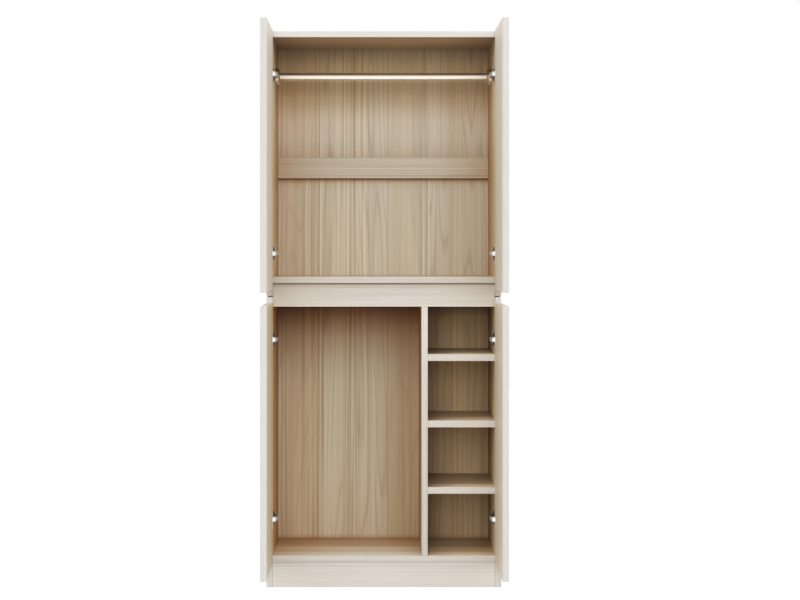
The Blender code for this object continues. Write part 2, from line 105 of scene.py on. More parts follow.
# Oaks: pale tone, deep tone and contrast of the grain. The side, deep, deep side, column side, inside and
# ceiling oaks are darker, warmer copies of the one oak that paint the shade inside the case; the side edge
# oak paints the shade on the upper sides' front edges.
FACE_OAK = ((0.76, 0.72, 0.67), (0.57, 0.51, 0.44), 1.0)
JOINT_OAK = ((0.42, 0.32, 0.20), (0.26, 0.19, 0.11), 1.0)
SIDE_EDGE_OAK = ((0.76, 0.70, 0.55), (0.57, 0.49, 0.36), 0.9)
PLINTH_OAK = ((0.88, 0.84, 0.79), (0.67, 0.61, 0.54), 1.0)
DOOR_OAK = ((0.84, 0.80, 0.72), (0.64, 0.57, 0.45), 1.0)
DOOR_BAND_OAK = ((0.72, 0.70, 0.67), (0.59, 0.56, 0.52), 0.8)
BAND_OAK = ((0.83, 0.80, 0.75), (0.68, 0.63, 0.56), 0.9)
SIDE_OAK = ((0.81, 0.57, 0.31), (0.48, 0.28, 0.115), 1.1)
DEEP_OAK = ((0.60, 0.31, 0.11), (0.34, 0.13, 0.035), 1.1)
DEEP_SIDE_OAK = ((0.62, 0.32, 0.115), (0.35, 0.135, 0.037), 1.1)
COLUMN_SIDE_OAK = ((0.60, 0.47, 0.30), (0.34, 0.20, 0.096), 1.1)
INSIDE_OAK = ((0.79, 0.64, 0.44), (0.49, 0.34, 0.18), 1.3)
CEILING_OAK = ((0.68, 0.50, 0.33), (0.43, 0.28, 0.15), 1.2)
FLOOR_OAK = ((0.81, 0.77, 0.67), (0.49, 0.41, 0.31), 1.3)
BACK_RAIL_OAK = ((0.82, 0.77, 0.65), (0.52, 0.44, 0.32), 1.0)
UPPER_BACK_OAK = ((0.86, 0.82, 0.72), (0.52, 0.43, 0.31), 1.0)
LOWER_BACK_OAK = ((0.85, 0.81, 0.70), (0.52, 0.42, 0.30), 1.0)

# Planks printed on the back sheets, repeated across: width, tint, strength of the lines and of the figure
PLANK_START = -0.2336
PLANKS = (
    (2 * MM, (0.80, 0.74, 0.66), 1.0, 0.0),
    (25 * MM, (0.98, 0.96, 0.93), 1.5, 0.0),
    (66 * MM, (1.00, 1.00, 1.00), 0.7, 0.7),
    (51 * MM, (0.95, 0.92, 0.88), 1.6, 0.1),
    (103 * MM, (0.98, 0.97, 0.96), 0.8, 0.7),
    (2 * MM, (0.76, 0.68, 0.58), 1.0, 0.0),
    (115 * MM, (0.96, 0.90, 0.82), 1.0, 0.3),
)

# Painted light and shade, warm where shaded, by its place in the case: an axis, then places along it with
# their tints.
# A third value keeps a shade to a span across the case. The bay and the column part in the middle of the
# divider.
PLAIN = (1.0, 1.0, 1.0)
BAY = (-0.40, 0.132)
COLUMN = (0.132, 0.40)
LEFT_HALF = (-0.40, 0.0)
RIGHT_HALF = (0.0, 0.40)

# Back sheets: painted shade and light up their height, painted shade under the top boards and by the divider,
# painted shadows of the hanging rail and the back rail, and tints across them that hold both painted light
# and shade and the print's tone
UPPER_BACK_SHADE = (Z, (
    (1.004, (0.98, 1.00, 0.98)), (1.45, (1.03, 1.06, 1.06)), (1.53, (1.20, 1.19, 1.20)),
    (1.58, (1.30, 1.25, 1.14)), (1.62, (1.28, 1.15, 0.94)), (1.66, (1.19, 1.08, 0.87)),
    (1.72, (1.31, 1.17, 0.90)), (1.745, (1.13, 1.03, 0.82)), (1.778, (0.75, 0.70, 0.61)),
))
HANGING_RAIL_SHADE = (Z, (
    (1.612, PLAIN), (1.642, (0.88, 0.85, 0.82)), (1.662, (0.86, 0.82, 0.78)), (1.673, PLAIN),
))
BACK_RAIL_SHADE = (Z, (
    (1.285, PLAIN), (1.315, (0.94, 0.91, 0.90)), (1.326, (0.83, 0.70, 0.60)), (1.3295, (0.74, 0.56, 0.45)),
    (1.333, (0.48, 0.30, 0.20)), (1.405, (0.86, 0.78, 0.72)), (1.435, (0.97, 0.92, 0.90)), (1.465, PLAIN),
))
LOWER_BACK_SHADE = (Z, (
    (0.102, (0.70, 0.57, 0.42)), (0.117, (0.95, 0.89, 0.77)), (0.35, (1.00, 0.95, 0.83)),
    (0.70, (1.03, 0.97, 0.84)),
))
BAY_TOP_SHADE = (Z, (
    (0.70, PLAIN), (0.79, (1.07, 0.95, 0.84)), (0.83, (0.98, 0.78, 0.63)), (0.86, (0.81, 0.56, 0.395)),
    (0.875, (0.62, 0.40, 0.265)), (0.888, (0.48, 0.27, 0.155)), (0.894, (0.27, 0.125, 0.055)),
), BAY)
COLUMN_TOP_SHADE = (Z, (
    (0.862, PLAIN), (0.884, (0.62, 0.66, 0.76)), (0.892, (0.42, 0.42, 0.46)), (0.908, (0.30, 0.30, 0.33)),
), COLUMN)
UPPER_ACROSS_SHADE = (X, (
    (-0.36, (1.10, 1.05, 1.01)), (-0.30, (1.03, 1.02, 1.00)), (-0.05, PLAIN), (0.02, (0.97, 1.02, 1.08)),
    (0.13, (1.00, 1.05, 1.12)), (0.18, (0.99, 1.00, 1.02)), (0.21, (0.94, 0.93, 0.91)),
    (0.36, (1.03, 0.98, 0.93)),
))
LOWER_ACROSS_SHADE = (X, (
    (-0.36, (1.16, 1.14, 1.14)), (-0.22, (1.08, 1.10, 1.10)), (-0.16, (1.01, 1.04, 1.06)),
    (0.02, (0.97, 1.00, 1.02)), (0.07, (0.92, 0.87, 0.81)), (0.130, (0.99, 0.96, 0.90)),
    (0.134, (1.31, 1.23, 1.06)),
))
COLUMN_SHADE = (X, (
    (0.132, PLAIN), (0.134, (0.36, 0.34, 0.36)), (0.152, (0.40, 0.37, 0.39)), (0.167, (0.53, 0.50, 0.52)),
    (0.196, (0.73, 0.71, 0.72)), (0.237, (0.93, 0.93, 0.94)), (0.286, PLAIN), (0.33, (0.95, 0.95, 0.96)),
    (0.36, (0.82, 0.80, 0.82)),
))
# Shelves, front boards and the back rail: painted light at the shelves' fronts and shade at their backs,
# painted shade at the top of the fascia and a painted highlight on its lower edge, painted light in the
# middle of the front boards and the plinth, and painted warm shade at the back rail's ends
SHELF_SHADE = (Y, (
    (0.0, (1.36, 1.48, 1.70)), (0.09, (1.28, 1.36, 1.45)), (0.18, (1.00, 1.01, 1.02)),
    (0.27, (0.80, 0.82, 0.83)), (0.39, (0.78, 0.79, 0.81)),
))
FASCIA_SHADE = (Z, (
    (0.913, (1.19, 1.16, 1.16)), (0.9145, (1.02, 1.02, 1.01)), (0.95, (1.0, 1.0, 0.99)),
    (0.975, (0.92, 0.90, 0.86)), (0.984, (0.82, 0.78, 0.70)),
))
FRONT_SHADE = (X, (
    (-0.36, (0.88, 0.84, 0.76)), (-0.28, (0.94, 0.93, 0.92)), (-0.14, (1.03, 1.04, 1.06)),
    (0.02, (1.10, 1.12, 1.17)), (0.18, (1.03, 1.05, 1.07)), (0.28, (0.98, 0.98, 0.96)),
    (0.36, (0.95, 0.92, 0.85)),
))
PLINTH_SHADE = (X, (
    (-0.36, (1.02, 1.01, 0.99)), (-0.26, (0.97, 0.97, 0.96)), (-0.01, (1.08, 1.08, 1.11)),
    (0.25, (0.97, 0.97, 0.96)), (0.36, (1.04, 1.03, 1.00)),
))
RAIL_ENDS_SHADE = (X, (
    (-0.36, (1.02, 0.92, 0.78)), (-0.28, (1.02, 0.97, 0.93)), (-0.20, (1.00, 1.00, 1.03)),
    (0.20, (1.00, 1.00, 1.03)), (0.28, (0.98, 0.94, 0.90)), (0.36, (0.96, 0.85, 0.70)),
))
# Sides and divider: painted light at the front and shade towards the back, and painted shade and light up
# their height; the side edge tints lift the rear and end edges from the painted shade of the front edges
SIDE_SHADE = (Y, (
    (0.05, (1.10, 1.28, 1.60)), (0.11, (1.06, 1.20, 1.44)), (0.18, (1.00, 1.06, 1.08)),
    (0.25, (0.90, 0.80, 0.70)), (0.32, (0.83, 0.69, 0.52)), (0.38, (0.80, 0.65, 0.45)),
))
SIDE_HEIGHT_SHADE = (Z, (
    (1.08, PLAIN), (1.20, (0.97, 0.95, 0.91)), (1.38, (0.95, 0.91, 0.86)), (1.47, (1.03, 1.05, 1.08)),
    (1.55, (1.06, 1.14, 1.24)), (1.67, (1.00, 1.08, 1.20)), (1.73, (0.80, 0.87, 1.02)),
    (1.78, (0.58, 0.64, 0.84)),
))
SIDE_EDGE_SHADE = (Y, ((-0.0135, PLAIN), (-0.0125, (1.14, 1.20, 1.45))))
LOWER_SIDE_SHADE = (Y, (
    (0.08, (1.35, 1.75, 2.00)), (0.11, (1.30, 1.65, 1.95)), (0.18, (1.08, 1.20, 1.18)),
    (0.25, (0.92, 0.83, 0.72)), (0.32, (0.83, 0.69, 0.52)), (0.38, (0.80, 0.65, 0.46)),
))
DIVIDER_SHADE = (Y, (
    (0.0, (1.25, 1.45, 1.65)), (0.12, (1.10, 1.22, 1.35)), (0.22, (0.97, 1.02, 1.08)),
    (0.38, (0.92, 0.93, 0.92)),
))
COLUMN_SIDE_SHADE = (Y, (
    (0.03, (1.75, 1.95, 2.00)), (0.08, (1.65, 1.80, 2.00)), (0.12, (1.48, 1.53, 1.60)),
    (0.175, (1.22, 1.24, 1.22)), (0.23, (0.90, 0.84, 0.70)), (0.285, (0.74, 0.72, 0.63)),
    (0.34, (0.66, 0.58, 0.41)), (0.38, (0.60, 0.53, 0.37)),
))
# Ceiling, floor and the insides of the lower doors: painted light at the front and shade at the back and in
# the corners, and painted light and shade towards the lower doors' hinges
CEILING_SHADE = (Y, ((-0.015, (1.22, 1.12, 1.02)), (0.10, (1.0, 0.98, 0.96)), (0.38, (0.76, 0.82, 0.84))))
CEILING_ACROSS_SHADE = (X, (
    (-0.36, (0.58, 0.58, 0.70)), (-0.28, (0.80, 0.84, 0.92)), (-0.19, (0.89, 0.91, 0.97)),
    (0.05, (1.00, 1.02, 1.06)), (0.17, (0.96, 0.98, 1.03)), (0.27, (0.84, 0.88, 0.96)),
    (0.36, (0.66, 0.71, 0.83)),
))
BOTTOM_SHADE = (Y, (
    (0.03, (1.14, 1.22, 1.34)), (0.075, (1.06, 1.06, 1.00)), (0.18, (1.00, 0.88, 0.72)),
    (0.38, (0.75, 0.43, 0.21)),
), BAY)
COLUMN_FLOOR_SHADE = (Y, (
    (0.0, (1.16, 1.05, 0.84)), (0.10, (1.16, 1.01, 0.80)), (0.16, (0.96, 0.79, 0.59)),
    (0.23, (0.84, 0.73, 0.58)), (0.30, (0.75, 0.65, 0.51)), (0.38, (0.66, 0.50, 0.31)),
), COLUMN)
BOTTOM_ACROSS_SHADE = (X, (
    (-0.36, (0.86, 0.73, 0.58)), (-0.28, (0.92, 0.81, 0.70)), (-0.19, (0.96, 0.91, 0.84)),
    (-0.09, (0.98, 0.97, 0.94)), (0.02, (0.97, 0.95, 0.91)), (0.132, (0.89, 0.79, 0.69)),
    (0.134, (0.66, 0.64, 0.64)), (0.196, (1.00, 0.99, 1.00)), (0.237, (1.14, 1.12, 1.14)),
    (0.30, (1.15, 1.13, 1.13)), (0.36, (0.97, 0.90, 0.87)),
))
LOWER_LEFT_DOOR_SHADE = (Y, ((-0.21, (0.93, 0.91, 0.82)), (-0.02, (1.00, 0.88, 0.68))), LEFT_HALF)
LOWER_RIGHT_DOOR_SHADE = (Y, ((-0.21, (1.08, 1.05, 0.97)), (-0.02, (1.22, 1.09, 0.94))), RIGHT_HALF)
# Painted shade up a cubby's back, darker at its floor, at shares of its height, and each cubby's painted
# light level from the bottom up
CUBBY_SHADE_TINTS = (
    (0.0, (0.89, 0.84, 0.80)), (0.3, (0.99, 0.95, 0.91)), (0.6, (1.07, 1.05, 1.04)),
    (1.0, (1.07, 1.11, 1.17)),
)
CUBBY_LIGHT_LEVELS = (1.0, 1.09, 1.05, 1.07)

# Painted shade in the corners under a ceiling, each given across and up with its strength, and their tints
# by distance
UPPER_CORNER_SHADES = ((-0.36, 1.78, 0.5), (0.36, 1.78, 0.36))
BAY_CORNER_SHADES = ((-0.36, 0.908, 1.0), (0.132, 0.908, 0.6))
CORNER_SHADE = (
    (0.0, (0.48, 0.52, 0.58)), (0.06, (0.64, 0.68, 0.74)), (0.11, (0.80, 0.82, 0.84)),
    (0.18, (0.93, 0.93, 0.93)), (0.26, PLAIN),
)

# Metals: colour and roughness, then the noises of the drawing marks and smears in their gloss. The sockets'
# brown is a darker, warmer copy of the chrome, a painted reflection of the oak round them; the arms' nickel
# is a darker copy, painted shade; the knuckles' is paler, painted light; the mounting plates are near black.
RAIL_METAL = ((0.90, 0.86, 0.79), 0.24)
SOCKET_METAL = ((0.62, 0.52, 0.40), 0.32)
HINGE_METAL = ((0.80, 0.79, 0.77), 0.34)
ARM_METAL = ((0.38, 0.37, 0.36), 0.34)
PLATE_METAL = ((0.07, 0.07, 0.074), 0.42)
KNUCKLE_METAL = ((0.98, 0.98, 0.98), 0.24)
DRAWING_MARKS = ((60, 2500, 2500), 2, 0.5, 0.10)
SMEARS = ((90, 90, 90), 3, 0.5, 0.16)
SMEAR_BUMP = (0.05 * MM, 0.2)
CREASE_DEGREES = 35

# Hanging rail and its sockets
RAIL_WALL = 1.2 * MM
RAIL_STEPS = 72
SOCKET_RIM = 3 * MM
SOCKET_LIP = 3.2 * MM
SOCKET_FLOOR = 2.5 * MM
SOCKET_DOME_STEPS = 14
RAIL_LIP = 0.3 * MM

# Hinge cup: pot, flange, well and the pins that carry the links. The flange's rolled edge is given by shares
# of the roll inwards and of the sheet, and the bead by its way out from the pot's radius and up.
CUP_RADIUS = 17.5 * MM
CUP_DEPTH = 13 * MM
CUP_FLOOR = 0.8 * MM
RIM_RADIUS = 18.3 * MM
FLANGE_HALF_LENGTH = 32 * MM
FLANGE_HALF_WIDTH = 10 * MM
FLANGE_SHEET = 0.9 * MM
FLANGE_ROLL = 0.4 * MM
ROLLED_EDGE = ((0.0, 0.6), (0.3, 0.9), (1.0, 1.0))
BEAD_TOP = 1.3 * MM
BEAD = (
    (0.3 * MM, FLANGE_SHEET), (0.1 * MM, 0.9 * BEAD_TOP), (-0.3 * MM, BEAD_TOP), (-0.7 * MM, 0.9 * BEAD_TOP),
)
POT_ROUND = 0.8 * MM
WELL_ROUND = 0.6 * MM
WELL_LIP = 0.2 * MM
WELL_TOP = 0.6 * FLANGE_SHEET
WELL_RADIUS = 16.5 * MM
WELL_HALF_WIDTH = 8 * MM
CUP_PIN_RADIUS = 0.8 * MM
CUP_PIN_BACK = 12 * MM
CUP_PIN_DEEP = 6 * MM
CUP_PIN_TIP = 4.3 * MM
CUP_PIN_STEPS = 24
CUP_STEPS = 120
FLANGE_SCREW_SPREAD = 24 * MM

# Knuckle: the wide plate in front of the inner link. Its pin is given from the side's outer face and the
# case's front, its other places along the link and in front of it. The outer link's cheeks pass through its
# two slots.
KNUCKLE_PIN = (33.19 * MM, 0.89 * MM)
KNUCKLE_LEAN = 48.5
KNUCKLE_START = (7.0 * MM, 3.5 * MM)
KNUCKLE_SHOULDER = (13.4 * MM, 9.2 * MM)
KNUCKLE_END = (23.4 * MM, 4.8 * MM)
KNUCKLE_ROUND = 1.2 * MM
KNUCKLE_SHEET = 1.0 * MM
KNUCKLE_EDGE = 0.3 * MM
KNUCKLE_HALF_WIDTH = 7.6 * MM
KNUCKLE_SPINE = 3.4 * MM
SPINE_SLOPE = 0.05 * MM
KNUCKLE_STEPS = 36
SLOT_START = 12.6 * MM
SLOT_SIDES = (4.1 * MM, 5.85 * MM)
LINK_MIDDLE = ((0.0, 0.0), (14.65 * MM, 4.7 * MM), (20.9 * MM, 3.4 * MM))

# Mounting plate under a hinge arm, with a wing above and below the arm
PLATE_BEHIND = 37 * MM
PLATE_HALF_HEIGHT = 22 * MM
PLATE_HALF_WIDTH = 7 * MM
PLATE_SHEET = 1.8 * MM
PLATE_RISE = 6.6 * MM
PLATE_TAPER = 1.3
PLATE_SQUARENESS = 5
PLATE_ROUND = 0.6 * MM
PLATE_TURN = 0.47
PLATE_STEPS = 25
PLATE_SCREW_SPREAD = 16 * MM

# Screws with a cross recess: half length and half width of its bars and the head's dome by reach and height,
# as shares of the radius, and the recess by shares of the cross's reach and of the radius
SCREW_RADIUS = 3.3 * MM
SCREW_STEPS = 48
SCREW_BAR = (0.52, 0.13)
SCREW_DOME = ((1.0, -0.10), (1.0, 0.03), (0.93, 0.08), (0.80, 0.115), (0.66, 0.13))
SCREW_RECESS = ((1.0, 0.13), (0.8, 0.02), (0.35, -0.08))
ARM_SCREW_PLACES = (26 * MM, 47 * MM)

# Studio: the floor's reach, drop below the object, grey, and glow for the camera, the surround's light, and
# lamps by their turn to the right of the front, height and spread in degrees, and share of full white
FLOOR_REACH = 9
FLOOR_DROP = 0.5 * MM
FLOOR_GREY = (0.15, 0.15, 0.15, 1.0)
FLOOR_GLOW = 0.9
SURROUND_WHITE = (1, 1, 1, 1)
SURROUND_LIGHT = 0.75
LAMPS = {
    "top_lamp": (0, 75, 30, 0.35),
    "key_lamp": (0, 21, 34, 0.30),
    "left_lamp": (-65, 20, 40, 0.30),
    "right_lamp": (65, 20, 40, 0.30),
}

# Picture frame and camera: picture points of focal length, and where straight ahead falls in the picture
PICTURE_WIDTH = 800
PICTURE_HEIGHT = 600
SENSOR_WIDTH = 36
FOCAL_POINTS = 1990
STRAIGHT_AHEAD = (372.1, 247.7)
CAMERA_PLACE = (-0.038, -6.455, 1.0987)


def rounded_rectangle(low, high, radius, steps):
    """Outline of a rectangle with quarter-circle corners, turning left all round.

    A corner's points are its circle's centre plus the radius times (cos, sin) over a quarter turn. The flat
    sides follow the corners in the order high first axis, high second, low first, low second.
    """
    (low_a, low_b), (high_a, high_b) = low, high
    centres = np.array([
        (high_a - radius, low_b + radius),
        (high_a - radius, high_b - radius),
        (low_a + radius, high_b - radius),
        (low_a + radius, low_b + radius),
    ])
    starts = np.array([-90, 0, 90, 180])
    angles = np.radians(starts[:, None] + np.linspace(0, 90, steps + 1)[None, :])
    outline = centres[:, None, :] + radius * np.stack([np.cos(angles), np.sin(angles)], axis=-1)
    return outline.reshape(-1, 2)


def at_height(outline, height):
    """A flat outline's points, all at one height."""
    return np.column_stack([outline, np.full(len(outline), height)])


def turn(steps):
    """Equal angles round a full turn."""
    return np.arange(steps) * (2 * math.pi / steps)


def polar_ring(radius, height, steps):
    """A ring of points at a height, its radius a number or one number for each of its equal angles."""
    angles = turn(steps)
    reach = np.broadcast_to(radius, angles.shape)
    return np.stack([reach * np.cos(angles), reach * np.sin(angles), np.full_like(angles, height)], axis=-1)


def turned(profile, steps, closed=False):
    """A skin over the rings of a profile, which gives each ring's radius and height."""
    return loft(np.array([polar_ring(radius, height, steps) for radius, height in profile]), closed)


def loft(rings, closed=False):
    """A skin over rings of equal count: quads join each ring to the next, and a flat face closes each end.

    A closed skin joins the last ring to the first instead.
    """
    count, size = rings.shape[:2]
    i, j = np.meshgrid(np.arange(count if closed else count - 1), np.arange(size), indexing="ij")
    beside = (j + 1) % size
    beyond = (i + 1) % count
    corners = (i * size + j, i * size + beside, beyond * size + beside, beyond * size + j)
    faces = np.stack(corners, axis=-1).reshape(-1, 4).tolist()
    if not closed:
        faces.append(list(range(size))[::-1])
        faces.append(list(range((count - 1) * size, count * size)))
    return rings.reshape(-1, 3), faces


def laid(shape, origin, axes):
    """A shape with its own three axes laid along the given directions; a mirrored one keeps facing out."""
    points, faces = shape
    axes = np.array(axes, float)
    if np.linalg.det(axes) < 0:
        faces = [face[::-1] for face in faces]
    return points @ axes + np.array(origin, float), faces


def joined(shapes):
    """Several shapes as one."""
    starts = np.cumsum([0] + [len(points) for points, _ in shapes])
    faces = [[start + k for k in face] for start, (_, own) in zip(starts, shapes) for face in own]
    return np.concatenate([points for points, _ in shapes]), faces


def box_shape(low, high):
    """A plain box between two corners, for cutting."""
    outline = rounded_rectangle(low[:2], high[:2], 0.0, 0)
    return loft(np.array([at_height(outline, height) for height in (low[2], high[2])]))


def make_mesh(name, shape):
    """A mesh of a shape's points and faces."""
    points, faces = shape
    mesh = bpy.data.meshes.new(name)
    mesh.from_pydata(points.tolist(), [], faces)
    return mesh


def make_object(name, data):
    """A mesh, a lamp or a camera set in the scene."""
    made = bpy.data.objects.new(name, data)
    bpy.context.scene.collection.objects.link(made)
    return made


def metal_piece(name, shape, finish, body, node=None, cuts=()):
    """A smooth metal piece with sharp creases, riding on a body; it may stand for a solid of the frame."""
    made = make_object(name, make_mesh(name, shape))
    made.data.materials.append(finish)
    if cuts:
        cut_away(made, cuts, [finish])
    made.data.shade_smooth()
    made.data.set_sharp_from_angle(angle=math.radians(CREASE_DEGREES))
    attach(made, body)
    if node:
        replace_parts(made, node)
    return made


def feed(tree, socket, value):
    """Joins a socket to another node's output, or sets it to a plain value."""
    if isinstance(value, bpy.types.NodeSocket):
        tree.links.new(value, socket)
    else:
        socket.default_value = value


def maths(tree, operation, *values):
    """One step of arithmetic on plain values or other nodes' outputs."""
    node = tree.nodes.new("ShaderNodeMath")
    node.operation = operation
    for socket, value in zip(node.inputs, values):
        feed(tree, socket, value)
    return node.outputs[0]


def stretched(tree, place, scale):
    """A place with each of its three numbers multiplied."""
    node = tree.nodes.new("ShaderNodeMapping")
    feed(tree, node.inputs["Vector"], place)
    node.inputs["Scale"].default_value = scale
    return node.outputs[0]


def frame_place(tree):
    """Where a point lies in the frame at rest, because every piece is modelled in its place there."""
    return tree.nodes.new("ShaderNodeTexCoord").outputs["Object"]


def parted(tree, place):
    """The three numbers of a place."""
    node = tree.nodes.new("ShaderNodeSeparateXYZ")
    feed(tree, node.inputs[0], place)
    return node.outputs


def noise(tree, place, waves, detail, roughness):
    """Noise about 0.5 with the given number of waves in a metre along each axis."""
    node = tree.nodes.new("ShaderNodeTexNoise")
    feed(tree, node.inputs["Vector"], stretched(tree, place, waves))
    node.inputs["Scale"].default_value = 1.0
    node.inputs["Detail"].default_value = detail
    node.inputs["Roughness"].default_value = roughness
    return node.outputs[0]


def swing(tree, place, streaks):
    """A noise less its middle, times an amount, so that it swings about nought."""
    *texture, amount = streaks
    return maths(tree, "MULTIPLY", maths(tree, "SUBTRACT", noise(tree, place, *texture), 0.5), amount)


def shades(tree, factor, stops, steps=False):
    """Colours along a factor, blended between their stops, or changing in steps."""
    node = tree.nodes.new("ShaderNodeValToRGB")
    ramp = node.color_ramp
    ramp.interpolation = "CONSTANT" if steps else "LINEAR"
    while len(ramp.elements) < len(stops):
        ramp.elements.new(1.0)
    for element, (position, colour) in zip(ramp.elements, stops):
        element.position = position
        element.color = (*colour, 1.0)
    feed(tree, node.inputs["Fac"], factor)
    return node.outputs[0]


def blended(tree, factor, first, second, kind="MIX"):
    """Two colours brought together by a share of the second."""
    node = tree.nodes.new("ShaderNodeMix")
    node.data_type = "RGBA"
    node.blend_type = kind
    feed(tree, node.inputs[0], factor)
    feed(tree, node.inputs[6], first)
    feed(tree, node.inputs[7], second)
    return node.outputs[2]


def bumped(tree, height, distance, strength):
    """The way a surface faces when a height, times a distance, stands out of it."""
    node = tree.nodes.new("ShaderNodeBump")
    node.inputs["Strength"].default_value = strength
    node.inputs["Distance"].default_value = distance
    feed(tree, node.inputs["Height"], height)
    return node.outputs[0]


def new_finish(name):
    """A new material with its tree of nodes and its main shader."""
    finish = bpy.data.materials.new(name)
    finish.use_nodes = True
    return finish, finish.node_tree, finish.node_tree.nodes["Principled BSDF"]


def sheet_place(tree):
    """Where a point lies on the printed sheet: metres across the grain, metres along it."""
    node = tree.nodes.new("ShaderNodeUVMap")
    node.uv_map = "sheet"
    return node.outputs[0]


def oak_grain(tree, sheet):
    """Grain of the oak: lines, clouds and fibres, each about nought, and a figure from nought to one.

    A slow noise moves the lines sideways. Lines and clouds are noises drawn out along the grain, less the
    pin lines, which lie where a noise crosses its middle; another noise gathers the lines in clumps. The
    figure is thin contour lines of a slow field: a high power of the sine of many turns of its height.
    """
    across, along, _ = parted(tree, sheet)
    moved = tree.nodes.new("ShaderNodeCombineXYZ")
    feed(tree, moved.inputs[0], maths(tree, "ADD", across, swing(tree, sheet, WANDER)))
    feed(tree, moved.inputs[1], along)
    place = moved.outputs[0]
    lines = maths(tree, "ADD", swing(tree, place, FINE_LINES), swing(tree, place, BROAD_LINES))
    off_middle = maths(tree, "ABSOLUTE", swing(tree, place, PIN_LINES))
    pins = maths(tree, "MAXIMUM", maths(tree, "SUBTRACT", 1.0, off_middle), 0.0)
    lines = maths(tree, "MULTIPLY_ADD", pins, -PIN_DEPTH, lines)
    clump = maths(tree, "ADD", swing(tree, place, CLUMPS), CLUMP_MIDDLE)
    least, most = CLUMP_LIMITS
    clump = maths(tree, "MINIMUM", maths(tree, "MAXIMUM", clump, least), most)
    lines = maths(tree, "MULTIPLY", lines, clump)
    clouds = swing(tree, place, CLOUDS)
    wave = maths(tree, "SINE", maths(tree, "MULTIPLY", noise(tree, place, *FIGURE_FIELD), FIGURE_TURN))
    figure = maths(tree, "POWER", maths(tree, "MULTIPLY_ADD", wave, 0.5, 0.5), FIGURE_POWER)
    return lines, clouds, figure, swing(tree, sheet, FIBRES)


def oak_finish(name, oak, planks=None, shade=(), corners=()):
    """Pale oak foil: its tone runs from deep to pale with the grain, and fibres roughen it.

    Planks tint it and change the strength of the lines and the figure in steps across the sheet. Shades and
    corners paint light and shade on it by its place in the case.
    """
    pale, deep, contrast = oak
    finish, tree, shader = new_finish(name)
    sheet = sheet_place(tree)
    lines, clouds, figure, fibres = oak_grain(tree, sheet)
    line_strength, figure_strength, tint = LINE_STRENGTH * contrast, FIGURE_STRENGTH * contrast, None
    if planks:
        tint, line_strength, figure_strength = plank_steps(tree, sheet, planks, contrast)
    tone = maths(tree, "MULTIPLY_ADD", lines, line_strength, MIDDLE_TONE)
    tone = maths(tree, "MULTIPLY_ADD", clouds, CLOUD_STRENGTH * contrast, tone)
    tone = maths(tree, "MULTIPLY_ADD", figure, figure_strength, tone)
    tone = maths(tree, "MULTIPLY_ADD", fibres, FIBRE_STRENGTH * contrast, tone)
    colour = shades(tree, tone, [(0.0, deep), (1.0, pale)])
    if planks:
        colour = blended(tree, 1.0, colour, tint, "MULTIPLY")
    for one in shade:
        colour = shaded(tree, colour, one)
    for corner in corners:
        colour = cornered(tree, colour, *corner)
    feed(tree, shader.inputs["Base Color"], colour)
    feed(tree, shader.inputs["Roughness"], maths(tree, "MULTIPLY_ADD", fibres, FIBRE_GLOSS, OAK_ROUGHNESS))
    feed(tree, shader.inputs["Normal"], bumped(tree, fibres, *FIBRE_BUMP))
    return finish


def shaded(tree, colour, shade):
    """A colour with painted light and shade by its place along an axis of the frame, from the first stop to
    the last.

    The ramp holds halves of the tints, because some are above one, and a blend doubles them after it.
    """
    axis, stops, *spans = shade
    places = parted(tree, frame_place(tree))
    first, last = stops[0][0], stops[-1][0]
    reach = last - first
    place = maths(tree, "DIVIDE", maths(tree, "SUBTRACT", places[axis], first), reach)
    halved = [((at - first) / reach, tuple(0.5 * share for share in tint)) for at, tint in stops]
    tint = blended(tree, 1.0, shades(tree, place, halved), (2, 2, 2, 1), "MULTIPLY")
    strength = 1.0
    for low, high in spans:
        strength = maths(tree, "COMPARE", places[X], (low + high) / 2, (high - low) / 2)
    return blended(tree, strength, colour, tint, "MULTIPLY")


def cubby_shade():
    """Painted shade up the column's back from board to board, at each cubby's painted light level."""
    boards = ["bottom_panel", "shelf_bottom", "shelf_middle", "shelf_top", "upper_floor"]
    stops = []
    for lower, upper, level in zip(boards, boards[1:], CUBBY_LIGHT_LEVELS):
        low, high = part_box(lower)[1].z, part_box(upper)[0].z
        for share, tint in CUBBY_SHADE_TINTS:
            stops.append((low + share * (high - low), tuple(level * part for part in tint)))
    return Z, stops, COLUMN


def cornered(tree, colour, across, up, strength):
    """A colour shaded by its distance from a corner's line along Y, on the inner side of that corner only."""
    place = frame_place(tree)
    away = tree.nodes.new("ShaderNodeVectorMath")
    away.operation = "DISTANCE"
    feed(tree, away.inputs[0], stretched(tree, place, (1, 0, 1)))
    away.inputs[1].default_value = (across, 0, up)
    outward = math.copysign(1, across)
    own_side = maths(tree, "MULTIPLY", parted(tree, place)[X], outward)
    inside = maths(tree, "LESS_THAN", own_side, outward * across)
    tint = shades(tree, away.outputs["Value"], CORNER_SHADE)
    return blended(tree, maths(tree, "MULTIPLY", inside, strength), colour, tint, "MULTIPLY")


def plank_steps(tree, sheet, planks, contrast):
    """Tint, line strength and figure strength, which change in steps from plank to plank.

    The ramps hold halves of the strengths, because some are above one, and they are doubled after.
    """
    repeat = sum(plank[0] for plank in planks)
    starts = np.cumsum([0] + [plank[0] for plank in planks[:-1]]) / repeat
    across = parted(tree, sheet)[0]
    place = maths(tree, "FRACT", maths(tree, "DIVIDE", maths(tree, "SUBTRACT", across, PLANK_START), repeat))
    tint = shades(tree, place, [(start, plank[1]) for start, plank in zip(starts, planks)], steps=True)
    strengths = []
    for column, scale in ((2, LINE_STRENGTH * contrast), (3, PLANK_FIGURE_STRENGTH * contrast)):
        stops = [(start, (plank[column] / 2,) * 3) for start, plank in zip(starts, planks)]
        grey = shades(tree, place, stops, steps=True)
        strengths.append(maths(tree, "MULTIPLY", grey, 2 * scale))
    return tint, *strengths


